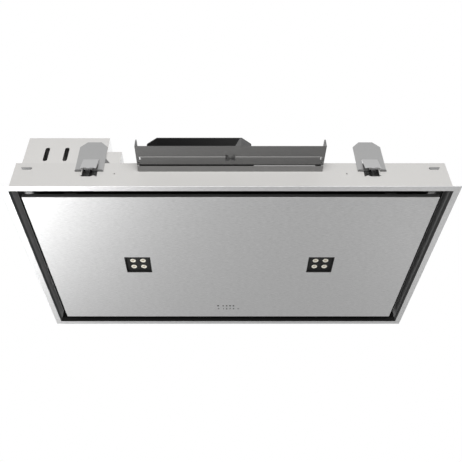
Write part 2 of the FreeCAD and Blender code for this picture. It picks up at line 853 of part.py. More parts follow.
def clamp_tongue(x):
    """Leaf that springs out below its top edge to hold the hood while the screws are turned."""
    half = tongue_width / 2
    y0 = tongue_y - tongue_sheet / 2
    low = tongue_top_z - tongue_length
    leaf = block(x - half, x + half, y0, y0 + tongue_sheet, low, tongue_top_z)
    curl = pin((x - half, tongue_y, tongue_top_z), tongue_width, tongue_sheet / 2, (1, 0, 0))
    leaf = leaf.fuse(curl).removeSplitter()
    radius = ((tongue_notch_width / 2) ** 2 + tongue_notch_depth ** 2) / (2 * tongue_notch_depth)
    leaf = leaf.cut(group([rod_y(x + side * tongue_notch_offset, y0 - 1, y0 + tongue_sheet + 1,
                                 low + tongue_notch_depth - radius, radius, motor_sides, True)
                           for side in (-1, 1)]))
    leaf.rotate(vec(x, tongue_y, tongue_top_z), vec(1, 0, 0), -tongue_angle)
    return leaf


def clamp_screw(x):
    head_z = guide_bottom_z - clamp_screw_head_height
    head = post(x, screw_y, head_z, guide_bottom_z, clamp_screw_head_radius)
    length = housing_height - housing_sheet - clamp_screw_end_gap - guide_bottom_z
    shank = pin((x, screw_y, guide_bottom_z), length, clamp_screw_radius, (0, 0, 1))
    recess = post(x, screw_y, head_z - 1, head_z + clamp_screw_socket, clamp_screw_socket, 6, True)
    return fuse([head, shank]).cut(recess)


def clamp_guide(x):
    """Bracket inside the wall whose two ears hold the screw."""
    half = guide_width / 2
    y_in = -inner_y
    back = y_in + guide_depth
    top = housing_height - housing_sheet
    web = block(x - half, x + half, back - guide_sheet, back, guide_bottom_z, top)
    low_ear = block(x - half, x + half, y_in + shroud_sheet, back,
                    guide_bottom_z, guide_bottom_z + guide_sheet)
    high_ear = block(x - half, x + half, y_in, back, top - guide_sheet, top)
    cheeks = []
    for side in (-1, 1):
        a, b = sorted((x + side * half, x + side * (half - guide_sheet)))
        cheeks.append(block(a, b, y_in, back, guide_bottom_z + guide_sheet, top))
    bore = post(x, screw_y, guide_bottom_z - 1, top + 1, clamp_screw_radius + clamp_screw_running_gap,
                bore=True)
    return fuse([web, low_ear, high_ear] + cheeks).cut(bore)


# ---------------------------------------------------------------- shelf
def duct_shelf():
    wall = -wall_y
    front = wall - shelf_reach
    top = shelf_z + shelf_sheet
    plate = block(shelf_left, shelf_right, front, wall, shelf_z, top)
    rear = block(shelf_left, shelf_right, wall - shelf_sheet, wall, shelf_z, shelf_z + shelf_rear_height)
    ears = []
    for x0 in (shelf_left, shelf_right - shelf_sheet):
        ear = block(x0, x0 + shelf_sheet, front, wall, shelf_z, shelf_z + shelf_ear_height)
        corner = edges_where(ear, lambda b: b.XLength > shelf_sheet / 2 and flat(b.YMin, b.YMax, front)
                             and flat(b.ZMin, b.ZMax, shelf_z + shelf_ear_height))
        ears.append(ear.makeFillet(shelf_ear_round, corner))
    bead_left = shelf_left + shelf_bead_margin
    bead_right = shelf_right - shelf_bead_margin
    bead_y = wall - shelf_bead_inset
    bead = rod_x(bead_left, bead_right, bead_y, shelf_z, shelf_bead_radius)
    body = fuse([plate, rear] + ears + [bead])
    groove = rod_x(bead_left, bead_right, bead_y, top, shelf_groove_radius)
    slot_y = wall - shelf_slot_inset
    cuts = [groove]
    for x0, x1 in ((shelf_left + shelf_slot_margin, shelf_slot_break[0]),
                   (shelf_slot_break[1], shelf_right - shelf_slot_margin)):
        cuts.append(block(x0, x1, slot_y - shelf_slot_width / 2, slot_y + shelf_slot_width / 2,
                          shelf_z - 1, top + 1))
    middle = (shelf_left + shelf_right) / 2
    win_y = wall - shelf_window_inset
    x0 = middle - shelf_window_width / 2
    x1 = middle + shelf_window_width / 2
    y0 = win_y - shelf_window_depth / 2
    y1 = win_y + shelf_window_depth / 2
    cuts.append(block(x0, x1, y0, y1, shelf_z - 1, top + 2))
    for side in (-1, 1):
        end = middle + side * ((shelf_right - shelf_left) / 2)
        for in_from_end, out_from_wall in shelf_end_holes:
            cuts.append(post(end - side * in_from_end, wall - out_from_wall, shelf_z - 1, top + 1,
                             shelf_hole_radius))
        cuts.append(rod_y(middle + side * shelf_screw_x, wall - 5, wall + 5,
                          shelf_z + shelf_rear_height / 2 + 1, screw_radius, bore=True))
    body = body.cut(group(cuts))
    tab = prism([(x0 + 4, y1, shelf_z), (x1 - 4, y1, shelf_z),
                 (x1 - 9, y0 + 6, shelf_z + shelf_tab_drop), (x0 + 9, y0 + 6, shelf_z + shelf_tab_drop)],
                (0, 0, shelf_sheet))
    return fuse([body, tab])


def shelf_screws():
    out = []
    middle = (shelf_left + shelf_right) / 2
    z = shelf_z + shelf_rear_height / 2 + 1
    face = -wall_y - shelf_sheet
    for side in (-1, 1):
        x = middle + side * shelf_screw_x
        head = rod_y(x, face - screw_head_height, face, z, screw_head_radius, 6)
        shank = rod_y(x, face, -wall_y, z, screw_radius)
        out.append(fuse([head, shank]))
    return group(out)


# ---------------------------------------------------------------- boxes on top
def electronics_box():
    y0 = -wall_y
    y1 = y0 + electronics_depth
    z0 = housing_height
    z1 = electronics_top - box_sheet
    body = block(electronics_left, electronics_right, y0, y1, z0, z1)
    body = body.cut(block(electronics_left + box_sheet, electronics_right - box_sheet, y0 + box_sheet,
                          y1 - box_sheet, z0 + box_sheet, z1 + 1))
    cuts = [post((electronics_left + electronics_right) / 2, y0 + electronics_depth / 2, z0 - 1,
                 z0 + 2, cable_way_radius)]
    straight = slot_height - slot_width
    for i in range(2):
        x = slot_first_x + i * slot_pitch
        cuts.append(block(x - slot_width / 2, x + slot_width / 2, y0 - 1, y0 + box_sheet + 1,
                          slot_middle_z - straight / 2, slot_middle_z + straight / 2))
        for side in (-1, 1):
            cuts.append(rod_y(x, y0 - 1, y0 + box_sheet + 1, slot_middle_z + side * straight / 2,
                              slot_width / 2, bore=True))
    cuts.append(rod_y(gland_x, y1 - box_sheet - 1, y1 + 1, z0 + gland_height, gland_thread, bore=True))
    for cut in cuts:
        body = body.cut(cut)
    return body


def electronics_lid():
    y0 = -wall_y
    return block(electronics_left, electronics_right, y0, y0 + electronics_depth,
                 electronics_top - box_sheet, electronics_top)


def cable_gland():
    """Hexagon and nut either side of the far wall, with a straight bore for the supply cable."""
    wall = -wall_y + electronics_depth
    z = housing_height + gland_height
    inner = wall - box_sheet
    outside = rod_y(gland_x, wall, wall + gland_hex_height, z, gland_hex, 6, True)
    end = wall + gland_length
    dome = rod_y(gland_x, wall + gland_hex_height, end, z, gland_thread, bore=True)
    dome = dome.makeChamfer(gland_dome_chamfer, edges_where(dome, lambda b: flat(b.YMin, b.YMax, end)))
    thread = rod_y(gland_x, inner, wall, z, gland_thread)
    nut = rod_y(gland_x, inner - gland_nut_height, inner, z, gland_hex, 6, True)
    start = inner - gland_nut_height - 1
    bore = pin((gland_x, start, z), end + 1 - start, gland_bore, (0, 1, 0))
    return fuse([outside, dome, thread, nut]).cut(bore)


def power_board():
    """Circuit board on four pillars, with its transformer, relays and capacitors."""
    x0 = electronics_right - board_side_gap - board_length
    y0 = -wall_y + board_near_gap
    z0 = housing_height + box_sheet
    z1 = z0 + board_standoff
    top = z1 + board_thickness
    shapes = [block(x0, x0 + board_length, y0, y0 + board_width, z1, top)]
    corner = 2 * standoff_radius
    for px in (x0 + corner, x0 + board_length - corner):
        for py in (y0 + corner, y0 + board_width - corner):
            shapes.append(post(px, py, z0, z1, standoff_radius))
    row_y = y0 + board_side_gap
    length, width, height = transformer
    part_x = x0 + board_side_gap
    shapes.append(block(part_x, part_x + length, row_y, row_y + width, top, top + height))
    part_x += length + board_side_gap
    length, width, height = relay
    for i in range(relay_count):
        shapes.append(block(part_x, part_x + length, row_y, row_y + width, top, top + height))
        part_x += relay_pitch
    for i in range(2):
        part_x -= capacitor_pitch
        shapes.append(post(part_x, row_y + width + capacitor_pitch, top, top + capacitor_height,
                           capacitor_radius))
    return fuse(shapes)


def terminal_block():
    """Row of screw terminals beside the gland."""
    x0 = electronics_left + box_side_gap
    y0 = -wall_y + electronics_depth - terminal_far_gap - terminal_width
    z0 = housing_height + box_sheet
    top = z0 + terminal_height
    body = block(x0, x0 + terminal_length, y0, y0 + terminal_width, z0, top)
    step = terminal_length / terminal_poles
    wells = [post(x0 + (i + 0.5) * step, y0 + terminal_width / 2, top - terminal_well_depth, top + 1,
                  terminal_well_radius) for i in range(terminal_poles)]
    return body.cut(group(wells))


def lamp_driver():
    x0 = electronics_left + box_side_gap
    y0 = -wall_y + box_side_gap
    z0 = housing_height + box_sheet
    body = block(x0, x0 + driver_width, y0, y0 + driver_length, z0, z0 + driver_height)
    side = edges_where(body, lambda b: b.ZLength > driver_height / 2)
    return body.makeChamfer(driver_chamfer, side)


def junction_box():
    """Small closed box beside the electronics box."""
    x0 = junction_left
    x1 = junction_left + junction_width - junction_gap
    y0 = -wall_y
    y1 = y0 + junction_depth
    z0 = housing_height
    z1 = z0 + junction_height
    body = block(x0, x1, y0, y1, z0, z1)
    return body.cut(block(x0 + box_sheet, x1 - box_sheet, y0 + box_sheet, y1 - box_sheet,
                          z0 + box_sheet, z1 - box_sheet))


def box_gusset():
    """Small triangle that ties the junction box to the housing."""
    x = -(clamp_x - clamp_width / 2) + 0.6
    y = -wall_y - box_sheet
    z = housing_height
    return prism([(x, y, z), (x + gusset_width, y, z), (x, y, z + gusset_height)], (0, box_sheet, 0))


# ---------------------------------------------------------------- blower
def scroll_outline(wall, z):
    """Plan of the scroll and its outlet, at a distance outside the air passage."""
    reach = mouth_right - casing_wall - impeller_x + wall
    start = -math.acos(reach / (scroll_start + wall))

    def on_scroll(share):
        angle = start + (math.pi - start) * share
        radius = scroll_start + wall + (scroll_end - scroll_start) * share
        return vec(impeller_x + radius * math.cos(angle), impeller_y + radius * math.sin(angle), z)
    front = mouth_y - casing_chamfer - 10
    first = vec(impeller_x + reach, front, z)
    last = vec(impeller_x - scroll_end - wall, front, z)
    spiral = [on_scroll(i / scroll_steps) for i in range(scroll_steps + 1)]
    return Part.makePolygon([first] + spiral + [last, first])


def scroll_volume(wall, z0, z1, chamfer):
    shoulder = z1 - chamfer
    low = Part.Face(scroll_outline(wall, z0)).extrude(vec(0, 0, shoulder - z0))
    crown = Part.makeLoft([scroll_outline(wall, shoulder), scroll_outline(wall - chamfer, z1)], True, True)
    return low.fuse(crown)


def blower_casing():
    outer = scroll_volume(casing_wall, casing_floor, casing_top, casing_chamfer)
    inner_chamfer = casing_chamfer - casing_wall * (2 - math.sqrt(2))
    inner = scroll_volume(0, casing_floor + casing_wall, casing_top - casing_wall, inner_chamfer)
    body = outer.cut(inner)
    far = 1000.0
    body = body.cut(block(-far, far, mouth_y - far, mouth_y, casing_floor - 1, casing_top + 1))
    eye = post(impeller_x, impeller_y, casing_floor - 1, eye_floor + 1, eye_radius, wheel_sides, True)
    holes = [post(px, py, casing_top - 2 * casing_wall, casing_top + 1, screw_radius, bore=True)
             for px, py in motor_screw_places()]
    return body.cut(eye).cut(group(holes)).removeSplitter()


def inlet_ring():
    """Bellmouth from the casing floor into the impeller's eye."""
    top = impeller_bottom + inlet_overlap
    bend = top - eye_floor
    centre = inlet_throat_radius + bend

    def quarter(radius, shares):
        """Points on the bend, from its foot at share 0 to the throat at share 1."""
        angles = [math.radians(270 - 90 * share) for share in shares]
        return [(centre + radius * math.cos(a), top + radius * math.sin(a)) for a in angles]
    shares = [i / inlet_steps for i in range(inlet_steps + 1)]
    rim = eye_radius + inlet_rim
    under = quarter(bend, shares)
    over = quarter(bend - inlet_sheet, reversed(shares))
    outline = under + over + [(rim, eye_floor + inlet_sheet), (rim, eye_floor)]
    return lathe(outline, impeller_x, impeller_y, wheel_sides)


def blade():
    """Forward-curved blade in two flats between the wheel's inner and outer radius."""
    def place(radius, degrees):
        angle = math.radians(degrees)
        return (radius * math.cos(angle), radius * math.sin(angle), impeller_bottom)
    middle = (impeller_blade_inner + impeller_radius) / 2
    sheet = math.degrees(impeller_blade_sheet / middle)
    line = [(impeller_blade_inner, 0), (middle, blade_lean / 2 - blade_bow),
            (impeller_radius, blade_lean + blade_hook)]
    outline = [place(radius, degrees) for radius, degrees in line]
    outline += [place(radius, degrees + sheet) for radius, degrees in reversed(line)]
    return prism(outline, (0, 0, impeller_height - impeller_disc / 2))


def impeller():
    """Forward-curved centrifugal wheel: blades between a hub disc and an end ring."""
    def round_at(radius, z0, z1):
        return post(0, 0, z0, z1, radius, wheel_sides, True)
    disc = round_at(impeller_radius, impeller_top - impeller_disc, impeller_top)
    ring_top = impeller_bottom + impeller_ring_height
    band = round_at(impeller_radius + impeller_ring, impeller_bottom, ring_top)
    band = band.cut(round_at(impeller_radius - impeller_ring, impeller_bottom - 1, ring_top + 1))
    collar = post(0, 0, impeller_top - impeller_collar_height, impeller_top,
                  rotor_radius + impeller_collar, motor_sides)
    one = blade()
    blades = [turned(one, i * 360.0 / impeller_blades) for i in range(impeller_blades)]
    body = disc.multiFuse([band, collar] + blades)
    body = body.cut(post(0, 0, impeller_bottom - 1, impeller_top + 1, rotor_radius, motor_sides))
    return moved(body.removeSplitter(), impeller_x, impeller_y, 0)


def motor_rotor():
    """Outer rotor: a cup that carries the wheel and is pressed on the shaft."""
    floor = rotor_bottom + rotor_wall
    inner = rotor_radius - rotor_wall
    hub = shaft_radius + rotor_hub_wall
    bore = shaft_radius / math.cos(math.pi / motor_sides)
    return lathe([(bore, rotor_bottom), (rotor_radius - rotor_corner, rotor_bottom),
                  (rotor_radius, rotor_bottom + rotor_corner), (rotor_radius, rotor_top),
                  (inner, rotor_top), (inner, floor), (hub, floor),
                  (hub, rotor_bottom + rotor_hub_height), (bore, rotor_bottom + rotor_hub_height)],
                 impeller_x, impeller_y, motor_sides)


def bearing_places():
    """Undersides of the two bearings."""
    return stator_bottom - bearing_end_gap, motor_plate_z - bearing_end_gap - bearing_height


def motor_shaft():
    low = rotor_bottom - shaft_below
    top = bearing_places()[1] + bearing_height + shaft_above
    return pin((impeller_x, impeller_y, low), top - low, shaft_radius, (0, 0, 1))


def motor_bearings():
    bore = (shaft_radius + shaft_running_gap) / math.cos(math.pi / motor_sides)
    return group([lathe([(bore, z), (bearing_radius, z), (bearing_radius, z + bearing_height),
                         (bore, z + bearing_height)], impeller_x, impeller_y, motor_sides)
                  for z in bearing_places()])


def motor_stator():
    """Laminated core with its windings on the bearing tube, hung from the mounting plate."""
    low = bearing_places()[0]
    tube = bearing_radius + bearing_tube_wall
    core = rotor_radius - rotor_wall - stator_air_gap
    coil_low = stator_bottom - winding_height
    coil_high = stator_top + winding_height
    return lathe([(bearing_radius, low), (tube, low), (tube, coil_low), (winding_radius, coil_low),
                  (winding_radius, stator_bottom), (core, stator_bottom), (core, stator_top),
                  (winding_radius, stator_top), (winding_radius, coil_high), (tube, coil_high),
                  (tube, motor_plate_z), (bearing_radius, motor_plate_z)],
                 impeller_x, impeller_y, motor_sides)


def motor_screw_places():
    out = []
    for i in range(motor_screw_count):
        angle = math.radians(45 + 360.0 * i / motor_screw_count)
        out.append((impeller_x + motor_screw_pcd / 2 * math.cos(angle),
                    impeller_y + motor_screw_pcd / 2 * math.sin(angle)))
    return out


def motor_plate():
    plate = post(impeller_x, impeller_y, motor_plate_z, casing_top - casing_wall, motor_plate_radius,
                 wheel_sides)
    holes = [post(px, py, motor_plate_z - 1, casing_top, screw_radius, bore=True)
             for px, py in motor_screw_places()]
    return plate.cut(group(holes))


def motor_screws():
    out = []
    for px, py in motor_screw_places():
        shank = post(px, py, motor_plate_z, casing_top, screw_radius)
        head = post(px, py, casing_top, casing_top + screw_head_height, screw_head_radius, 6)
        out.append(fuse([shank, head]))
    return group(out)


# ---------------------------------------------------------------- backdraught flaps
flap_x = (mouth_left + mouth_right) / 2
flap_low = casing_floor + casing_wall
flap_high = casing_top - casing_wall


def flap_post():
    return pin((flap_x, flap_y, flap_low), flap_high - flap_low, flap_post_radius, (0, 0, 1))


def flap(side):
    """Half flap with a barrel on its own half of the post and a corner cut off under the roof's slope."""
    barrel = flap_post_radius + flap_barrel_wall
    low = flap_low + flap_clearance
    high = flap_high - flap_clearance
    middle = (low + high) / 2
    span = (mouth_right - mouth_left) / 2 - casing_wall - flap_clearance
    cut = casing_chamfer
    outline = [(0, low), (span, low), (span, high - cut), (span - cut, high), (0, high)]
    y0 = flap_y - flap_sheet / 2
    plate = prism([(flap_x + side * x, y0, z) for x, z in outline], (0, flap_sheet, 0))
    own, other = (low, middle - flap_middle_gap / 2), (middle - flap_middle_gap, high + 1)
    if side > 0:
        own, other = (middle + flap_middle_gap / 2, high), (low - 1, middle + flap_middle_gap)
    clear = barrel + flap_clearance
    plate = plate.cut(block(flap_x - clear, flap_x + clear, y0 - 1, y0 + flap_sheet + 1, *other))
    body = plate.fuse(post(flap_x, flap_y, *own, barrel)).removeSplitter()
    return body.cut(post(flap_x, flap_y, low - 1, high + 1, flap_post_radius + flap_running_gap, bore=True))


# ---------------------------------------------------------------- write every piece
save("housing_shell", housing_shell())
save("flange_frame", flange_frame())
save("perimeter_shroud", perimeter_shroud())
save("filter_tray", filter_tray())
for name, side in (("left", -1), ("right", 1)):
    save("filter_frame_" + name, filter_frame(side))
    save("filter_latch_" + name, filter_latch(side))
    save("lamp_housing_" + name, lamp_housing(side))
    save("lamp_faceplate_" + name, lamp_faceplate(side))
    save("lamp_lenses_" + name, lamp_lenses(side))
    save("backdraught_flap_" + name, flap(side))
save("filter_meshes", filter_meshes())
save("panel_skin", panel_skin())
save("panel_backing", panel_backing())
save("touch_board", touch_board())
save("touch_housing", touch_housing())
save("hinge_brackets", group([hinge_bracket(s * hinge_x) for s in (-1, 1)]))
save("hinge_pins", group([hinge_pin(s * hinge_x) for s in (-1, 1)]))
save("hinge_leaves", group([hinge_leaf(s * hinge_x) for s in (-1, 1)]))
save("catch_magnets", group([catch_magnet(s * catch_x) for s in (-1, 1)]))
save("catch_plates", group([catch_strike(s * catch_x) for s in (-1, 1)]))
save("clamp_guides", group([turned(clamp_guide(x), turn) for name, x, turn in clamp_centres()]))
for name, x, turn in clamp_centres():
    save("clamp_plate_" + name, turned(clamp_plate(x), turn))
    save("clamp_tongue_" + name, turned(clamp_tongue(x), turn))
    save("clamp_screw_" + name, turned(clamp_screw(x), turn))
save("duct_shelf", duct_shelf())
save("shelf_screws", shelf_screws())
save("electronics_box", electronics_box())
save("electronics_lid", electronics_lid())
save("cable_gland", cable_gland())
save("power_board", power_board())
save("terminal_block", terminal_block())
save("lamp_driver", lamp_driver())
save("junction_box", junction_box())
save("box_gusset", box_gusset())
save("blower_casing", blower_casing())
save("inlet_ring", inlet_ring())
save("impeller", impeller())
save("motor_rotor", motor_rotor())
save("motor_shaft", motor_shaft())
save("motor_bearings", motor_bearings())
save("motor_stator", motor_stator())
save("motor_plate", motor_plate())
save("motor_screws", motor_screws())
save("flap_post", flap_post())
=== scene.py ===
# %% [markdown]
# # A hood that hangs in the ceiling
# The engineering model of the hood is already packed: fifty-nine sheet-metal, plastic and copper
# pieces with their joints. This lesson dresses it. The metal keeps its measured shape, so the work
# here is in finishes, in a few pieces too small or too round for the plain solids, and in the
# light.

import json
import math

import bpy
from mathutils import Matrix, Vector


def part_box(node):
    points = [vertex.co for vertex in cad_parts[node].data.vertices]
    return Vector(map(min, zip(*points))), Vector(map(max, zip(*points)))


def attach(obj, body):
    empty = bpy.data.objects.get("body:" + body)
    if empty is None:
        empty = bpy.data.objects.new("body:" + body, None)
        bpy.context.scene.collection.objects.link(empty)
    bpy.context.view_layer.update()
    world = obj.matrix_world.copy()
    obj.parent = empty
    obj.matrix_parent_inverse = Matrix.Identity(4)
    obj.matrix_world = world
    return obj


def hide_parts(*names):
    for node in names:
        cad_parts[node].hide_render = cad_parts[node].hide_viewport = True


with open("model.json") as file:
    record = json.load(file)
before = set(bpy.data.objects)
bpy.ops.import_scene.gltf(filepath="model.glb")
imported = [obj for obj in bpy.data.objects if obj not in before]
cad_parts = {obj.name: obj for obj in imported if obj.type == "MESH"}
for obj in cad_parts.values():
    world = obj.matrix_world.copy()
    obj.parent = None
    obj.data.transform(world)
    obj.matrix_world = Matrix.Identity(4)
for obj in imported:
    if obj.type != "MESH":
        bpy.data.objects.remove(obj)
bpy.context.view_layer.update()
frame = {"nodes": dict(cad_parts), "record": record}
nodes = frame["nodes"]
MM = 0.001

# %% [markdown]
# ## Working in edit mode from code
# Operators act on whatever is selected, and loading leaves the whole hood selected. So every new
# piece starts by deselecting all, and faces or edges are then picked by where they are. These
# helpers keep the later cells short: one starts clean, one picks faces or edges by a test, and the
# others apply modifiers, join, cut, smooth or coat a piece.

# %% Helpers for modelling by hand
def start_clean():
    if bpy.context.mode != "OBJECT":
        bpy.ops.object.mode_set(mode="OBJECT")
    bpy.ops.object.select_all(action="DESELECT")


def select_only(piece):
    start_clean()
    bpy.context.view_layer.objects.active = piece
    piece.select_set(True)


def name_piece(name):
    """Names the active piece and its mesh."""
    piece = bpy.context.object
    piece.name = name
    piece.data.name = name
    return piece


def edit(piece, kind="FACE"):
    """Opens a piece for editing with nothing selected."""
    select_only(piece)
    bpy.ops.object.mode_set(mode="EDIT")
    bpy.ops.mesh.select_mode(type=kind)
    bpy.ops.mesh.select_all(action="DESELECT")


def pick(piece, test):
    """Selects the faces, or the edges in edge mode, for which the test holds."""
    by_edge = bpy.context.tool_settings.mesh_select_mode[1]
    bpy.ops.object.mode_set(mode="OBJECT")
    for item in (piece.data.edges if by_edge else piece.data.polygons):
        item.select = bool(test(item))
    bpy.ops.object.mode_set(mode="EDIT")


def bake_place(piece):
    """Puts a piece's place into its mesh, with its object at the origin."""
    select_only(piece)
    bpy.ops.object.transform_apply(location=True, rotation=True, scale=True)
    return piece


def apply_all(piece):
    """Applies every modifier of a piece."""
    select_only(piece)
    for modifier in list(piece.modifiers):
        bpy.ops.object.modifier_apply(modifier=modifier.name)
    return piece


def combine(piece, tool, kind):
    """Joins a tool to a piece or cuts it out, and takes the tool away."""
    step = piece.modifiers.new(kind, "BOOLEAN")
    step.operation = kind
    step.object = tool
    step.solver = "EXACT"
    apply_all(piece)
    bpy.data.objects.remove(tool)
    return piece


def join(pieces, name):
    start_clean()
    for piece in pieces:
        piece.select_set(True)
    bpy.context.view_layer.objects.active = pieces[0]
    bpy.ops.object.join()
    return name_piece(name)


def smooth(piece, degrees=35):
    select_only(piece)
    bpy.ops.object.shade_smooth_by_angle(angle=math.radians(degrees))
    return piece


def coat(piece, *materials):
    """Gives a piece these materials and no others."""
    piece.data.materials.clear()
    for material in materials:
        piece.data.materials.append(material)


def coat_selected(number):
    """Gives the selected faces the piece's material with this number."""
    bpy.context.object.active_material_index = number
    bpy.ops.object.material_slot_assign()


print("helpers ready")

# %% [markdown]
# ## Effects that several finishes share
# Brushed steel, zinc and paint all need the same few ingredients: brush lines, an even grain and
# the mottle of zinc crystals. Each is a node group, built once, which puts out a plain value. The
# finishes decide what the value does. All of them read Object coordinates, so a pattern stays on
# its sheet.

# %% Node helpers
def add_node(tree, kind, inputs=None, operation=None, data_type=None):
    """Adds a node whose inputs, by name or number, take plain values or other nodes' sockets."""
    node = tree.nodes.new("ShaderNode" + kind)
    if operation:
        node.operation = operation
    if data_type:
        node.data_type = data_type
    for entry, value in (inputs or {}).items():
        if isinstance(value, bpy.types.NodeSocket):
            tree.links.new(value, node.inputs[entry])
        else:
            node.inputs[entry].default_value = value
    return node


def calculate(tree, operation, *values):
    """One step of arithmetic on numbers or sockets."""
    return add_node(tree, "Math", dict(enumerate(values)), operation).outputs[0]


def blend_colours(tree, factor, first, second):
    """A blend of two colours, each a plain one or a socket."""
    return add_node(tree, "Mix", {0: factor, 6: first, 7: second}, data_type="RGBA").outputs[2]


def new_group(name, inputs, outputs):
    group = bpy.data.node_groups.new(name, "ShaderNodeTree")
    for label, default in inputs:
        socket = group.interface.new_socket(label, in_out="INPUT", socket_type="NodeSocketFloat")
        socket.default_value = default
    for label in outputs:
        group.interface.new_socket(label, in_out="OUTPUT", socket_type="NodeSocketFloat")
    return group, group.nodes.new("NodeGroupInput"), group.nodes.new("NodeGroupOutput")


def place_points(group, entry, stretch):
    """Object coordinates, scaled by the group's Size input and stretched along the axes."""
    where = add_node(group, "TexCoord").outputs["Object"]
    sized = add_node(group, "VectorMath", {0: where, "Scale": entry.outputs["Size"]}, "SCALE")
    return add_node(group, "VectorMath", {0: sized.outputs[0], 1: stretch}, "MULTIPLY").outputs[0]


# %% Brush lines: noise pulled long along one axis
def brush_group(name, stretch):
    group, entry, leave = new_group(name, [("Size", 60.0), ("Detail", 6.0)], ["Value"])
    points = place_points(group, entry, stretch)
    noise = add_node(group, "TexNoise", {"Vector": points, "Scale": 1.0, "Roughness": 0.75,
                                         "Detail": entry.outputs["Detail"]})
    group.links.new(noise.outputs["Fac"], leave.inputs["Value"])
    return group


brush_x = brush_group("brush lines along x", (0.35, 4.0, 4.0))
brush_z = brush_group("brush lines along z", (4.0, 4.0, 0.35))
grain = brush_group("even grain", (1.0, 1.0, 1.0))


# %% Zinc spangle: flat crystals of slightly different brightness
def spangle_group():
    group, entry, leave = new_group("zinc spangle", [("Size", 160.0), ("Blur", 0.35)], ["Value"])
    points = place_points(group, entry, (1.0, 1.0, 1.0))
    cells = add_node(group, "TexVoronoi", {"Vector": points, "Scale": 1.0})
    split = add_node(group, "SeparateColor", {"Color": cells.outputs["Color"]})
    cloud = add_node(group, "TexNoise", {"Vector": points, "Scale": 1.7})
    blend = add_node(group, "Mix", {0: entry.outputs["Blur"], 2: split.outputs[0],
                                    3: cloud.outputs["Fac"]})
    group.links.new(blend.outputs[0], leave.inputs["Value"])
    return group


spangle = spangle_group()
print("effect groups", [g.name for g in bpy.data.node_groups])

# %% [markdown]
# ## One recipe for a finish
# A finish here is a colour that drifts between two shades, a roughness that drifts with it, and a
# very shallow bump. The recipe takes the group that makes the pattern, so steel, zinc, paint and
# moulded plastic come from the same few lines and differ in their numbers only.

# %% The recipe
SHADE_STOPS = (0.3, 0.7)
BUMP_STRENGTH = 0.6


def finish(name, dark, light, pattern, size, rough, metal=0.0, bump=0.0, shine=0.5):
    """Rough is the least and the greatest roughness, and bump a depth in metres."""
    material = bpy.data.materials.new(name)
    material.use_nodes = True
    tree = material.node_tree
    shader = tree.nodes["Principled BSDF"]
    shader.inputs["Metallic"].default_value = metal
    shader.inputs["Specular IOR Level"].default_value = shine
    source = add_node(tree, "Group")
    source.node_tree = pattern
    source.inputs["Size"].default_value = size
    value = source.outputs["Value"]
    ramp = add_node(tree, "ValToRGB", {"Fac": value})
    for number, colour in enumerate((dark, light)):
        stop = ramp.color_ramp.elements[number]
        stop.position = SHADE_STOPS[number]
        stop.color = (*colour, 1)
    tree.links.new(ramp.outputs["Color"], shader.inputs["Base Color"])
    rub = add_node(tree, "MapRange", {"Value": value, "To Min": rough[0], "To Max": rough[1]})
    tree.links.new(rub.outputs["Result"], shader.inputs["Roughness"])
    if bump:
        relief = add_node(tree, "Bump", {"Height": value, "Strength": BUMP_STRENGTH,
                                         "Distance": bump})
        tree.links.new(relief.outputs["Normal"], shader.inputs["Normal"])
    return material


def grey(value, warm=0.0):
    return (value, value * (1 - warm * 0.4), value * (1 - warm))


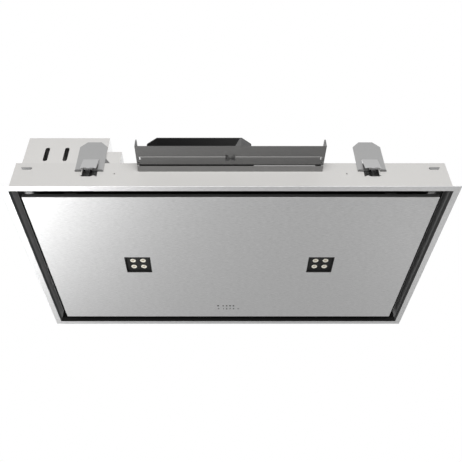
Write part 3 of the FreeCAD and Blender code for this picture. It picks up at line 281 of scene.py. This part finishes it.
# %% The finishes of the hood, one for each slot of the record
finishes = {
    "shell_steel": finish("satin grey coat", grey(0.60, 0.04), grey(0.64, 0.04), grain, 900,
                          (0.42, 0.55), bump=0.00002),
    "flange_steel": finish("brushed flange", grey(0.56), grey(0.80), brush_x, 230,
                           (0.44, 0.54), 1.0, 0.00001),
    "panel_steel": finish("brushed panel", grey(0.48), grey(0.72), brush_x, 230,
                          (0.46, 0.56), 1.0, 0.00001),
    "black_sheet": finish("gloss black sheet", grey(0.0035), grey(0.0055), grain, 300,
                          (0.20, 0.28)),
    "galvanised": finish("zinc sheet", grey(0.36), grey(0.50), spangle, 220, (0.30, 0.48), 0.9),
    "clamp_steel": finish("clamp zinc", grey(0.33), grey(0.41), grain, 1400,
                          (0.50, 0.60), 0.55, 0.00002),
    "spring_steel": finish("sprung leaf", grey(0.46), grey(0.54), grain, 1200, (0.45, 0.55), 0.5),
    # The shelf's zinc is painted much darker than the other zinc: painted shade, as the shelf faces
    # down.
    "shelf_steel": finish("zinc shelf with painted shade", grey(0.071, 0.03), grey(0.111, 0.03), brush_x, 700,
                          (0.40, 0.52), 0.3, 0.00002),
    "filter_aluminium": finish("filter frame aluminium", grey(0.55), grey(0.64), brush_x, 500,
                               (0.28, 0.4), 1.0),
    "filter_mesh": finish("expanded mesh", grey(0.30), grey(0.62), spangle, 420,
                          (0.3, 0.5), 1.0, 0.0006),
    "latch_plastic": finish("latch plastic", grey(0.014), grey(0.022), grain, 900,
                            (0.5, 0.62), bump=0.00004),
    "lamp_black": finish("lamp body coat", grey(0.002), grey(0.004), grain, 900, (0.5, 0.6)),
    "lamp_face": finish("lamp face", grey(0.004), grey(0.007), grain, 1200,
                        (0.5, 0.6), bump=0.00003, shine=0.25),
    "lens_cream": finish("frosted lens", (0.52, 0.50, 0.43), (0.61, 0.59, 0.52), grain, 600,
                         (0.3, 0.4)),
    "circuit_green": finish("circuit board", (0.01, 0.09, 0.04), (0.015, 0.15, 0.06), grain, 400,
                            (0.3, 0.42)),
    "black_plastic": finish("moulded black", grey(0.012), grey(0.02), grain, 900,
                            (0.5, 0.6), bump=0.00004),
    "terminal_grey": finish("terminal plastic", grey(0.42, 0.03), grey(0.48, 0.03), grain, 700,
                            (0.45, 0.55)),
    "box_steel": finish("satin grey box", grey(0.63, 0.04), grey(0.67, 0.04), grain, 900,
                        (0.42, 0.55), bump=0.00002),
    "gland_plastic": finish("gland plastic", grey(0.016), grey(0.024), grain, 900,
                            (0.45, 0.55), bump=0.00004),
    "casing_black": finish("casing plastic", grey(0.026), grey(0.034), grain, 500,
                           (0.34, 0.46), bump=0.00005),
    "inlet_steel": finish("inlet zinc", grey(0.36), grey(0.50), spangle, 220, (0.3, 0.46), 0.9),
    "wheel_plastic": finish("wheel plastic", grey(0.03), grey(0.045), grain, 900,
                            (0.45, 0.58), bump=0.00004),
    "rotor_steel": finish("rotor coat", grey(0.07), grey(0.10), grain, 900, (0.35, 0.48), 0.4),
    "shaft_steel": finish("ground steel", grey(0.5), grey(0.6), brush_z, 1200, (0.18, 0.26), 1.0),
    "stator_copper": finish("copper windings", (0.50, 0.20, 0.08), (0.66, 0.30, 0.14), brush_z,
                            1500, (0.28, 0.4), 0.8, 0.0002),
    "magnet": finish("ferrite", grey(0.03), grey(0.045), grain, 900, (0.5, 0.62)),
    "screw_steel": finish("zinc screw", grey(0.48), grey(0.58), grain, 900, (0.26, 0.36), 1.0),
}
print("finishes", len(finishes))

# %% [markdown]
# ## Where a finish changes
# One sheet can look different in places, and most of these changes are painted light and shade:
# coated steel gets a painted highlight where it is seen edge-on, the ring is painted black where it
# turns up and gets painted light at its ends, small tabs and feet get painted shade, and the
# blower's mouth gets painted light. Each change lays one more colour over the finish, by a factor
# worked out from the angle or from Object coordinates.

# %% Lay a colour over a finish
def tint(material, factor, colour):
    """Blends a colour, plain or from a socket, over the one that the material has so far."""
    tree = material.node_tree
    base = tree.nodes["Principled BSDF"].inputs["Base Color"]
    tree.links.new(blend_colours(tree, factor, base.links[0].from_socket, colour), base)


# %% Painted highlight: sheet seen edge-on is painted white and turned metallic, standing in for the light on its side faces
GLANCE_HIGHLIGHT_WHITE = (0.98, 0.98, 0.98, 1)


def painted_glancing_highlight(material, start, end):
    """Start and end say how far the sheet has turned away, from 0 to 1."""
    tree = material.node_tree
    weight = add_node(tree, "LayerWeight", {"Blend": 0.5})
    ramp = add_node(tree, "MapRange", {"Value": weight.outputs["Facing"], "From Min": start,
                                       "From Max": end})
    tree.links.new(ramp.outputs["Result"], tree.nodes["Principled BSDF"].inputs["Metallic"])
    tint(material, ramp.outputs["Result"], GLANCE_HIGHLIGHT_WHITE)


# The painted highlight at a glance goes on the grey coat, the box and the shelf.
for slot in ("shell_steel", "box_steel"):
    painted_glancing_highlight(finishes[slot], 0.62, 0.80)
painted_glancing_highlight(finishes["shelf_steel"], 0.80, 0.93)


# %% The ring is bare steel below and painted black where it turns up inside the wall; the channel's two ends get painted light, more on the left than on the right
CHANNEL_HALF_X, CHANNEL_HALF_Y = 0.5832, 0.3282
CHANNEL_BOTTOM = -0.0016
END_WALL_X = 0.5815
# The right end gets this share of the left end's painted light.
RIGHT_END_LIGHT_SHARE = 0.55
INSIDE_PAINT = 0.004
# How much painted light the ends of the ring and of the black sheet get.
RING_END_PAINTED_LIGHT, SHEET_END_PAINTED_LIGHT = 0.09, 0.42


def inside_the_ring():
    """Inside is 1 in the channel. Side, the painted light on the ends, is 1 at its left end and a
    share of that at its right end.
    """
    halves = [("Half X", CHANNEL_HALF_X), ("Half Y", CHANNEL_HALF_Y)]
    group, entry, leave = new_group("inside the ring", halves, ["Inside", "Side"])
    where = add_node(group, "TexCoord").outputs["Object"]
    size = add_node(group, "VectorMath", {0: where}, "ABSOLUTE")
    across = add_node(group, "SeparateXYZ", {0: size.outputs[0]})
    real = add_node(group, "SeparateXYZ", {0: where})
    in_x = calculate(group, "LESS_THAN", across.outputs["X"], entry.outputs["Half X"])
    in_y = calculate(group, "LESS_THAN", across.outputs["Y"], entry.outputs["Half Y"])
    in_both = calculate(group, "MULTIPLY", in_x, in_y)
    above = calculate(group, "GREATER_THAN", real.outputs["Z"], CHANNEL_BOTTOM)
    group.links.new(calculate(group, "MULTIPLY", in_both, above), leave.inputs["Inside"])
    at_end = calculate(group, "GREATER_THAN", across.outputs["X"], END_WALL_X)
    left = calculate(group, "LESS_THAN", real.outputs["X"], 0.0)
    share = calculate(group, "MULTIPLY_ADD", left, 1 - RIGHT_END_LIGHT_SHARE, RIGHT_END_LIGHT_SHARE)
    group.links.new(calculate(group, "MULTIPLY", at_end, share), leave.inputs["Side"])
    return group


ring_inside = inside_the_ring()


def paint_inside(material, side):
    """Paints the channel black and lays painted light on its two ends."""
    tree = material.node_tree
    metal = tree.nodes["Principled BSDF"].inputs["Metallic"]
    mask = add_node(tree, "Group")
    mask.node_tree = ring_inside
    paint = blend_colours(tree, mask.outputs["Side"], (*grey(INSIDE_PAINT), 1), (*grey(side), 1))
    tint(material, mask.outputs["Inside"], paint)
    bare = add_node(tree, "MapRange", {"Value": mask.outputs["Inside"],
                                       "To Min": metal.default_value, "To Max": 0.0})
    tree.links.new(bare.outputs["Result"], metal)


paint_inside(finishes["flange_steel"], RING_END_PAINTED_LIGHT)
paint_inside(finishes["black_sheet"], SHEET_END_PAINTED_LIGHT)


# %% Painted shade: lanced tabs, the panel's turned-up edge and the clamps' feet are painted darker than their sheets, where shade falls on them
WALL_FACE_Y = 0.3298
PANEL_TURN_Z = 0.0022
CLAMP_FEET_Z = 0.0696


def paint_shade_where(material, axis, kind, limit, shade):
    """Lays on a painted shade where the size of a coordinate passes a test."""
    tree = material.node_tree
    split = add_node(tree, "SeparateXYZ", {0: add_node(tree, "TexCoord").outputs["Object"]})
    size = calculate(tree, "ABSOLUTE", split.outputs[axis])
    tint(material, calculate(tree, kind, size, limit), (*grey(shade), 1))


paint_shade_where(finishes["shell_steel"], "Y", "GREATER_THAN", WALL_FACE_Y, 0.24)
paint_shade_where(finishes["panel_steel"], "Z", "GREATER_THAN", PANEL_TURN_Z, 0.33)
paint_shade_where(finishes["clamp_steel"], "Z", "LESS_THAN", CLAMP_FEET_Z, 0.19)


# %% Painted light in the blower's mouth: lighter to its right, and lightest inside its right corner
MOUTH_LEFT_X, MOUTH_RIGHT_X = -0.20, 0.03
MOUTH_PAINTED_LIGHT, CORNER_PAINTED_LIGHT = 0.055, 0.38
CORNER_TESTS = [
    ((1, 0.434, 0), "GREATER_THAN", -0.1146),  # right of a line that slants away from the mouth
    ((0, 0, 1), "LESS_THAN", 0.2045),  # under the crown
    ((1, 0, 1), "LESS_THAN", 0.2375),  # inside the cut-off corner
    ((1, 0, 0), "LESS_THAN", 0.0602),  # inside the right wall
    ((0, 1, 0), "GREATER_THAN", -0.3290),  # behind the mouth's front edge
]


def paint_light_in_mouth(material):
    """Paints light on the mouth, more towards its right. A test takes the place along a direction,
    and all of them together bound the corner with the most painted light.
    """
    tree = material.node_tree
    where = add_node(tree, "TexCoord").outputs["Object"]
    split = add_node(tree, "SeparateXYZ", {0: where})
    ramp = add_node(tree, "MapRange", {"Value": split.outputs["X"], "From Min": MOUTH_LEFT_X,
                                       "From Max": MOUTH_RIGHT_X})
    tint(material, ramp.outputs["Result"], (*grey(MOUTH_PAINTED_LIGHT), 1))
    inside = 1.0
    for direction, kind, limit in CORNER_TESTS:
        along = add_node(tree, "VectorMath", {0: where, 1: direction}, "DOT_PRODUCT")
        passed = calculate(tree, kind, along.outputs["Value"], limit)
        inside = calculate(tree, "MULTIPLY", inside, passed)
    tint(material, inside, (*grey(CORNER_PAINTED_LIGHT), 1))


paint_light_in_mouth(finishes["casing_black"])

# %% Three more finishes, then one for every node
# Black oxide on the clamp screws; the same black is painted shade inside the shelf's groove.
oxide_and_groove_shade = finish("black oxide screw", grey(0.012), grey(0.02), grain, 900, (0.4, 0.5))
# A lighter zinc, a painted highlight on the shelf's faces that stand out underneath.
painted_highlight_edge = finish("painted highlight edge", grey(0.18, 0.03), grey(0.22, 0.03), brush_x, 700,
                   (0.35, 0.45), 0.3)
# A darker copy of the zinc: painted shade on the box's gusset and on the tongues' lips.
shaded_zinc = finish("shaded zinc", grey(0.13), grey(0.17), spangle, 220, (0.45, 0.55), 0.3)
slot_of = {part["node"]: part["material_slot"] for part in frame["record"]["subparts"]}
for node, piece in nodes.items():
    if node.startswith("clamp_screw"):
        coat(piece, oxide_and_groove_shade)
    # The gusset gets the painted shade of the darker zinc.
    elif node == "box_gusset":
        coat(piece, shaded_zinc)
    else:
        coat(piece, finishes[slot_of[node]])
print("finishes on", len(slot_of), "nodes")

# %% [markdown]
# ## The lamps
# Each lamp is a dark square plate, set a little way into the panel, with four round optics. A round
# opening in the engineering model has few sides, so plate and optics are made again here with truly
# round edges, in the same places.

# %% Sizes of a lamp, read from its nodes
face_low, face_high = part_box("lamp_faceplate_left")
lens_low, lens_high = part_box("lamp_lenses_left")
lamp_middle = (face_low + face_high) / 2
lamp_side = face_high.x - face_low.x
lens_z = face_low.z
LENS_PITCH = 30.4 * MM
LENS_RADIUS = 8.6 * MM
LENS_GAP = 0.1 * MM
PLATE_EASE = 0.25 * MM
print("lamp plate", round(lamp_side / MM, 1), "mm at z", round(lens_z / MM, 1),
      "with optics over", round((lens_high.x - lens_low.x) / MM, 1), "mm")


def lens_places(middle_x):
    """The middles of a lamp's four optics."""
    return [(middle_x + i * LENS_PITCH / 2, lamp_middle.y + j * LENS_PITCH / 2)
            for i in (-1, 1) for j in (-1, 1)]


# %% A plate with four round openings and eased edges
def lamp_plate(name, middle_x):
    start_clean()
    thick = face_high.z - face_low.z
    bpy.ops.mesh.primitive_cube_add(
        size=1, location=(middle_x, lamp_middle.y, lens_z + thick / 2),
        scale=(lamp_side, lamp_side, thick))
    plate = bake_place(name_piece(name))
    for x, y in lens_places(middle_x):
        start_clean()
        bpy.ops.mesh.primitive_cylinder_add(vertices=40, radius=LENS_RADIUS + LENS_GAP,
                                            depth=4 * thick, location=(x, y, lens_z))
        combine(plate, bpy.context.object, "DIFFERENCE")
    ease = plate.modifiers.new("eased edges", "BEVEL")
    ease.width = PLATE_EASE
    ease.segments = 2
    ease.limit_method = "ANGLE"
    ease.angle_limit = math.radians(60)
    apply_all(plate)
    return smooth(plate)


# %% [markdown]
# ## The optics
# An optic seen from below is a pale dish with a small darker eye. It starts as a flat disc of many
# sides. Insets draw the rings, and moving a ring up or down shapes the dish, so the whole lens
# stays one closed surface with clean loops.

# %% One optic: disc, rings, dish and eye
DISC_DEPTH = 1.5 * MM
DISC_LIFT = 0.45 * MM
# Each ring goes inwards by the first number of millimetres and down by the second, up if negative.
DISH_RINGS = [(0.8, 0.6), (1.2, 0.1), (1.6, -0.6), (0.6, -0.4)]
EYE_RINGS = [(1.6, 0.4), (1.2, 0.2)]
cream = finishes["lens_cream"]
eye = finish("optic eye", (0.32, 0.27, 0.21), (0.42, 0.37, 0.30), grain, 500, (0.25, 0.35))


def optic(x, y):
    start_clean()
    bpy.ops.mesh.primitive_cylinder_add(vertices=32, radius=LENS_RADIUS, depth=DISC_DEPTH,
                                        location=(x, y, lens_z + DISC_LIFT))
    lens = bake_place(bpy.context.object)
    coat(lens, cream, eye)
    edit(lens)
    pick(lens, lambda f: f.normal.z < -0.9)
    for inwards, down in DISH_RINGS:
        bpy.ops.mesh.inset(thickness=inwards * MM, depth=down * MM)
    coat_selected(1)
    for inwards, down in EYE_RINGS:
        bpy.ops.mesh.inset(thickness=inwards * MM, depth=down * MM)
    bpy.ops.object.mode_set(mode="OBJECT")
    return lens


def lamp_optics(name, middle_x):
    return smooth(join([optic(x, y) for x, y in lens_places(middle_x)], name), 50)


# %% Both lamps
for side, way in (("left", -1), ("right", 1)):
    middle_x = way * abs(lamp_middle.x)
    plate = lamp_plate("lamp_plate_" + side, middle_x)
    coat(plate, finishes["lamp_face"])
    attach(plate, "panel")
    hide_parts("lamp_faceplate_" + side)
    lenses = lamp_optics("lamp_optics_" + side, middle_x)
    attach(lenses, "panel")
    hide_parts("lamp_lenses_" + side)
    print(side, "plate faces", len(plate.data.polygons), "optic faces", len(lenses.data.polygons))

# %% [markdown]
# ## The shelf under the outlet
# The shelf is one bent sheet. A shallow pressed pan stiffens it, a long groove runs behind the pan,
# and a window lets the duct's hook through between two small points. It is built from the bent
# sheet outwards: the blank first, the pressings joined on, then everything that is punched.

# %% Blocks to join and to punch with
def block(low, high):
    """A block between two corners, given in millimetres."""
    start_clean()
    middle = [(a + b) / 2 * MM for a, b in zip(low, high)]
    size = [(b - a) * MM for a, b in zip(low, high)]
    bpy.ops.mesh.primitive_cube_add(size=1, location=middle, scale=size)
    return bake_place(bpy.context.object)


def ease_edges(piece, test, width, segments=1):
    """Bevels the edges whose two ends pass the test."""
    edit(piece, "EDGE")
    corners = [v.co / MM for v in piece.data.vertices]
    pick(piece, lambda e: all(test(corners[v]) for v in e.vertices))
    bpy.ops.mesh.bevel(offset=width * MM, segments=segments)
    bpy.ops.object.mode_set(mode="OBJECT")
    return piece


# %% The blank, bent up at the wall and at both ends, with its pressings, in millimetres
LEFT, RIGHT, FRONT, WALL, LEVEL = -249.0, 247.0, -417.5, -329.5, 71.0
SHEET = 1.5
OVERLAP = 1
BACK_HEIGHT = 20
EAR_HEIGHT, EAR_CORNER = 36, 15
PAN_DROP, PAN_EASE = 1.3, 1.1
FOLD_DROP, FOLD_EASE = 2.4, 1.8
GROOVE_NEAR, GROOVE_FAR, GROOVE_TOP = WALL - 24.9, WALL - 20.6, LEVEL + 7.2
shelf = block((LEFT, FRONT, LEVEL), (RIGHT, WALL, LEVEL + SHEET))
pan = block((LEFT + 9, WALL - 52.6, LEVEL - PAN_DROP), (RIGHT - 8, WALL - 24.6, LEVEL + OVERLAP))
ease_edges(pan, lambda c: c.z < LEVEL - 1, PAN_EASE)
fold = block((LEFT, WALL - 22.4, LEVEL - FOLD_DROP), (RIGHT, WALL, LEVEL + OVERLAP))
ease_edges(fold, lambda c: c.z < LEVEL - 1 and c.y < WALL - 10, FOLD_EASE)
groove_cover = block((LEFT + 4, WALL - 27, LEVEL + OVERLAP), (RIGHT - 4, WALL - 17, LEVEL + 8))
back = block((LEFT, WALL - SHEET, LEVEL), (RIGHT, WALL, LEVEL + BACK_HEIGHT))
for extra in (pan, fold, groove_cover, back):
    combine(shelf, extra, "UNION")
for x in (LEFT, RIGHT - SHEET):
    ear = block((x, FRONT, LEVEL), (x + SHEET, WALL, LEVEL + EAR_HEIGHT))
    ease_edges(ear, lambda c: c.y < FRONT + 1 and c.z > LEVEL + 20, EAR_CORNER, 6)
    combine(shelf, ear, "UNION")

# %% The openings: two lengths of groove, the window in its pocket, and the holes at both ends
PUNCH_FROM = LEVEL - 3
WINDOW_LEFT, WINDOW_RIGHT = -14.0, 12.0
WINDOW_NEAR, WINDOW_FAR = WALL - 59, WALL - 38
POCKET_TOP = LEVEL + 7
SLOT_IN, SLOT_HALF_WIDTH, SLOT_NEAR, SLOT_FAR = 9, 2.2, WALL - 51.5, WALL - 40.5
HOLE_IN, HOLE_RADIUS, HOLE_Y = 5, 2.4, WALL - 31
for x0, x1 in ((LEFT + 6, 62.0), (225.0, RIGHT - 6)):
    groove = block((x0, GROOVE_NEAR, PUNCH_FROM), (x1, GROOVE_FAR, GROOVE_TOP))
    combine(shelf, groove, "DIFFERENCE")
pocket = block((WINDOW_LEFT - SHEET, WINDOW_NEAR - SHEET, LEVEL + OVERLAP),
               (WINDOW_RIGHT + SHEET, WINDOW_FAR + SHEET, POCKET_TOP))
combine(shelf, pocket, "UNION")
window = block((WINDOW_LEFT, WINDOW_NEAR, PUNCH_FROM),
               (WINDOW_RIGHT, WINDOW_FAR, POCKET_TOP - SHEET))
combine(shelf, window, "DIFFERENCE")
for side, end in ((1, LEFT), (-1, RIGHT)):
    x = end + side * SLOT_IN
    slot = block((x - SLOT_HALF_WIDTH, SLOT_NEAR, PUNCH_FROM),
                 (x + SLOT_HALF_WIDTH, SLOT_FAR, LEVEL + 3))
    combine(shelf, slot, "DIFFERENCE")
    start_clean()
    bpy.ops.mesh.primitive_cylinder_add(
        vertices=20, radius=HOLE_RADIUS * MM, depth=8 * MM,
        location=((end + side * HOLE_IN) * MM, HOLE_Y * MM, LEVEL * MM))
    combine(shelf, bpy.context.object, "DIFFERENCE")
print("shelf punched", len(shelf.data.polygons), "faces")


# %% Two points reach into the window from its long sides
WINDOW_MIDDLE = (WINDOW_LEFT + WINDOW_RIGHT) / 2
POINT_SHEET = 1.2
POINT_TIP = 0.12  # the tip's width, as a share of the point's


def window_point(x, y, half, reach):
    """A block whose far side is drawn together to a point."""
    low, high = sorted((y, y + reach))
    piece = block((x - half, low, LEVEL), (x + half, high, LEVEL + POINT_SHEET))
    edit(piece, "EDGE")
    corners = [v.co / MM for v in piece.data.vertices]
    tip = y + reach
    pick(piece, lambda e: all(abs(corners[v].y - tip) < 0.1 for v in e.vertices))
    bpy.ops.transform.resize(value=(POINT_TIP, 1, 1),
                             center_override=(x * MM, tip * MM, LEVEL * MM))
    bpy.ops.object.mode_set(mode="OBJECT")
    return piece


points = [window_point(WINDOW_MIDDLE, WALL - 59.2, 8.0, 11.5),
          window_point(WINDOW_MIDDLE, WALL - 37.8, 5.0, -6.0)]
shelf = join([shelf] + points, "shelf_pressed")


# %% The shelf's coat: painted shade in black inside the groove, and a painted highlight where it stands out underneath
def in_groove_shade(face):
    y, z = face.center.y / MM, face.center.z / MM
    return GROOVE_NEAR - 0.1 < y < GROOVE_FAR + 0.1 and LEVEL - 0.5 < z < GROOVE_TOP + 0.3


def gets_painted_highlight(face):
    """Faces below the blank that look down, which get the painted highlight: the near slopes, and
    the fold behind the groove.
    """
    y, z = face.center.y / MM, face.center.z / MM
    return face.normal.z < -0.3 and z < LEVEL and (face.normal.y < -0.3 or y > WALL - 20)


coat(shelf, finishes["shelf_steel"], oxide_and_groove_shade, painted_highlight_edge)
edit(shelf)
pick(shelf, in_groove_shade)
coat_selected(1)
bpy.ops.mesh.select_all(action="DESELECT")
pick(shelf, gets_painted_highlight)
coat_selected(2)
bpy.ops.object.mode_set(mode="OBJECT")
smooth(shelf, 25)
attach(shelf, "housing")
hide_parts("duct_shelf")
print("shelf faces", len(shelf.data.polygons))

# %% [markdown]
# ## Lips of the sprung tongues
# Behind the waved lower edge of each tongue a narrow lip hangs down, about one millimetre behind
# the leaf and parallel to it, so it clears the wall when the tongue is pressed flat. One lip is
# drawn out edge by edge and thickened, and the same steps make it at each clamp.

# %% A lip, drawn out from one edge along a path of Y and Z, in millimetres
LIP_HALF = 12.2
LIP_PATH = [(-344.6, 67.2), (-344.4, 65.1), (-344.6, 63.0), (-345.3, 60.8)]
LIP_SHEET = 0.8
CLAMP_X = 380.5


def hanging_lip(name, x):
    start_clean()
    bpy.ops.mesh.primitive_plane_add(size=1)
    strip = bpy.context.object
    edit(strip, "EDGE")
    bpy.ops.mesh.select_all(action="SELECT")
    bpy.ops.mesh.delete(type="ONLY_FACE")
    bpy.ops.object.mode_set(mode="OBJECT")
    # Only the plane's near edge is kept, which lies half a metre before its middle.
    ends = [v.co.copy() for v in strip.data.vertices]
    edit(strip, "EDGE")
    pick(strip, lambda e: not all(ends[v].y < 0 for v in e.vertices))
    bpy.ops.mesh.delete(type="EDGE")
    bpy.ops.mesh.select_all(action="SELECT")
    (y, z), rest = LIP_PATH[0], LIP_PATH[1:]
    bpy.ops.transform.resize(value=(2 * LIP_HALF * MM, 1, 1), center_override=(0, 0, 0))
    bpy.ops.transform.translate(value=(x * MM, y * MM + 0.5, z * MM))
    for next_y, next_z in rest:
        bpy.ops.mesh.extrude_region_move(
            TRANSFORM_OT_translate={"value": (0, (next_y - y) * MM, (next_z - z) * MM)})
        y, z = next_y, next_z
    bpy.ops.object.mode_set(mode="OBJECT")
    sheet = strip.modifiers.new("sheet", "SOLIDIFY")
    sheet.thickness = LIP_SHEET * MM
    sheet.offset = 0
    apply_all(strip)
    name_piece(name)
    # The lip gets the painted shade of the darker zinc.
    coat(strip, shaded_zinc)
    return smooth(strip, 60)


# %% One lip at each clamp, turned half round for the far side
for name, x, turn in (("near_left", -CLAMP_X, 0), ("near_right", CLAMP_X, 0),
                      ("far_right", -CLAMP_X, 180), ("far_left", CLAMP_X, 180)):
    lip = hanging_lip("tongue_lip_" + name, x)
    lip.rotation_euler = (0, 0, math.radians(turn))
    bake_place(lip)
    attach(lip, "tongue_" + name)
    print(lip.name, len(lip.data.polygons), "faces")

# %% [markdown]
# ## The touch marks
# The controls are only ink on the steel: a row of short bars that light up, and a row of small
# signs under them. They are raised by a few hundredths of a millimetre, which is about what screen
# ink is, so they are real shapes and need no picture.

# %% Three strengths of ink, and where the marks stand, in millimetres on the panel
panel_low, panel_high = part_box("panel_skin")
ink_z = panel_low.z
INK = 0.05 * MM
BAR_ROW = 232.3 * MM
SIGN_ROW = 250.2 * MM
inks = [finish("ink %d" % i, grey(dark), grey(dark * 1.3), grain, 900, (0.4, 0.5), shine=0.15)
        for i, dark in enumerate((0.005, 0.010, 0.04))]
strong, medium, faint = inks
bars = [(-34.9, 6.4, strong), (-17.7, 4.6, faint), (-6.2, 5.0, medium), (5.3, 5.8, strong),
        (16.8, 5.6, strong)]
signs = [(-33.4, "power", medium), (-16.6, "1", medium), (-6.0, "2", medium), (5.5, "3", faint),
         (17.1, "4", medium), (33.4, "clock", faint)]
print("panel", round((panel_high.x - panel_low.x) / MM, 1), "mm wide, inks", len(inks))

# %% Bars: thin plates with eased corners
BAR_DEPTH = 6.4 * MM
BAR_CORNER = 0.7 * MM


def bar(x, length, ink):
    start_clean()
    bpy.ops.mesh.primitive_cube_add(size=1, location=(x * MM, BAR_ROW, ink_z - INK / 2),
                                    scale=(length * MM, BAR_DEPTH, INK))
    piece = bake_place(bpy.context.object)
    edit(piece, "EDGE")
    heights = [v.co.z for v in piece.data.vertices]
    pick(piece, lambda e: abs(heights[e.vertices[0]] - heights[e.vertices[1]]) > INK / 2)
    bpy.ops.mesh.bevel(offset=BAR_CORNER, segments=3)
    bpy.ops.object.mode_set(mode="OBJECT")
    coat(piece, ink)
    return piece


# %% Signs: numbers for the four speeds, a power ring and a clock
DIGIT_SIZE = 11.0 * MM
DIGIT_BOLD = 0.35 * MM
POWER_RING = (3.2, 2.0)
CLOCK_RING = (3.4, 2.5)


def number(x, digit):
    start_clean()
    bpy.ops.object.text_add(location=(x * MM, SIGN_ROW, ink_z - INK / 2), rotation=(math.pi, 0, 0))
    text = bpy.context.object
    text.data.body = digit
    text.data.align_x = "CENTER"
    text.data.align_y = "CENTER"
    text.data.size = DIGIT_SIZE
    text.data.offset = DIGIT_BOLD
    text.data.extrude = INK / 2
    text.data.resolution_u = 3
    bpy.ops.object.convert(target="MESH")
    return bake_place(bpy.context.object)


def thin_ring(x, outer, inner):
    """A disc whose middle is inset and taken out, then given the ink's thickness."""
    start_clean()
    bpy.ops.mesh.primitive_circle_add(vertices=28, radius=outer * MM, fill_type="NGON",
                                      location=(x * MM, SIGN_ROW, ink_z - INK / 2))
    piece = bake_place(bpy.context.object)
    edit(piece)
    bpy.ops.mesh.select_all(action="SELECT")
    bpy.ops.mesh.inset(thickness=(outer - inner) * MM)
    bpy.ops.mesh.delete(type="FACE")
    bpy.ops.object.mode_set(mode="OBJECT")
    thick = piece.modifiers.new("ink", "SOLIDIFY")
    thick.thickness = INK
    thick.offset = 0
    return apply_all(piece)


def stroke(x, y, width, height):
    """A short line of ink, a little thicker than a ring so that the two never lie level."""
    start_clean()
    bpy.ops.mesh.primitive_cube_add(size=1, location=(x * MM, SIGN_ROW + y * MM, ink_z - INK / 2),
                                    scale=(width * MM, height * MM, INK * 1.2))
    return bake_place(bpy.context.object)


def sign(x, kind):
    if kind == "power":
        return join([thin_ring(x, *POWER_RING), stroke(x, -2.6, 1.3, 4.6)], "power")
    if kind == "clock":
        hands = [stroke(x, -0.9, 0.8, 2.6), stroke(x + 0.8, 0.2, 2.0, 0.8)]
        return join([thin_ring(x, *CLOCK_RING)] + hands, "clock")
    return number(x, kind)


# %% All the marks are one piece
marks = [bar(x, length, ink) for x, length, ink in bars]
for x, kind, ink in signs:
    mark = sign(x, kind)
    coat(mark, ink)
    marks.append(mark)
touch_marks = join(marks, "touch_marks")
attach(touch_marks, "panel")
print("touch marks", len(touch_marks.data.polygons), "faces")

# %% [markdown]
# ## Floor, white surroundings and soft light
# A catalogue picture shows the hood on plain white. The surroundings are white for the camera, for
# reflections and for transmission, and much dimmer for everything else, so that the sheet metal
# still has light and dark sides. The pale floor lies well below, where someone stands to look up.

# %% The floor
FLOOR_DROP = 2.1
start_clean()
bpy.ops.mesh.primitive_plane_add(size=16, location=(0, 0, -FLOOR_DROP))
floor = bake_place(name_piece("floor"))
coat(floor, finish("pale floor", grey(0.80), grey(0.84), grain, 6, (0.7, 0.8)))

# %% The white surroundings
ROOM_LEVEL = 0.28
world = bpy.data.worlds.new("white studio")
bpy.context.scene.world = world
world.use_nodes = True
tree = world.node_tree
sky = tree.nodes["Background"]
sky.inputs["Color"].default_value = (1, 1, 1, 1)
rays = add_node(tree, "LightPath")
seen = calculate(tree, "MAXIMUM", rays.outputs["Is Camera Ray"], rays.outputs["Is Glossy Ray"])
seen = calculate(tree, "MAXIMUM", seen, rays.outputs["Is Transmission Ray"])
level = add_node(tree, "MapRange", {"Value": seen, "To Min": ROOM_LEVEL, "To Max": 1.0})
tree.links.new(level.outputs["Result"], sky.inputs["Strength"])


# %% Soft lamps
def soft_lamp(name, place, aim, size, watts):
    """A square lamp that looks at its aim and isn't seen itself."""
    start_clean()
    bpy.ops.object.light_add(type="AREA", location=place)
    lamp = bpy.context.object
    lamp.name = name
    lamp.data.size = size
    lamp.data.energy = watts
    lamp.rotation_euler = (Vector(aim) - Vector(place)).to_track_quat("-Z", "Y").to_euler()
    lamp.visible_camera = False


soft_lamp("front", (0.0, -2.8, -0.9), (0, -0.33, 0.08), 2.4, 70)
soft_lamp("left glow", (-1.2, 1.1, -1.2), (-0.55, -0.3, 0), 0.16, 2.4)
soft_lamp("right glow", (1.2, 1.1, -1.2), (0.55, -0.3, 0), 0.2, 0.9)
soft_lamp("panel glow", (-1.28, 0.02, -1.1), (-0.55, -0.3, 0), 0.9, 23.5)
soft_lamp("panel fill", (0.2, 1.5, -1.25), (0, 0, 0), 2.4, 2.6)
soft_lamp("right side", (2.4, 0.35, -0.3), (0, 0, 0.05), 1.0, 14)
soft_lamp("left side", (-2.4, 0.35, -0.3), (0, 0, 0.05), 1.0, 9)

# %% [markdown]
# ## The camera
# The photograph looks up from below and in front of the near wall. Its height, distance and tilt
# were worked out from the corners of the flange and the panel, whose real sizes are known. The
# small shift keeps the hood a little left of the picture's middle without turning the camera.

# %% The camera at the photograph's place
CAMERA_PLACE = (-0.0277, -1.41568, -1.04371)
CAMERA_TILT = 129.784
CAMERA_LENS = 44.80
CAMERA_SENSOR = 36
CAMERA_SHIFT = 0.0233
start_clean()
bpy.ops.object.camera_add(location=CAMERA_PLACE, rotation=(math.radians(CAMERA_TILT), 0, 0))
camera = bpy.context.object
camera.data.sensor_width = CAMERA_SENSOR
camera.data.lens = CAMERA_LENS
camera.data.shift_x = CAMERA_SHIFT
bpy.context.scene.camera = camera
bpy.context.scene.view_settings.view_transform = "Standard"
print("camera", [round(v, 3) for v in camera.location])
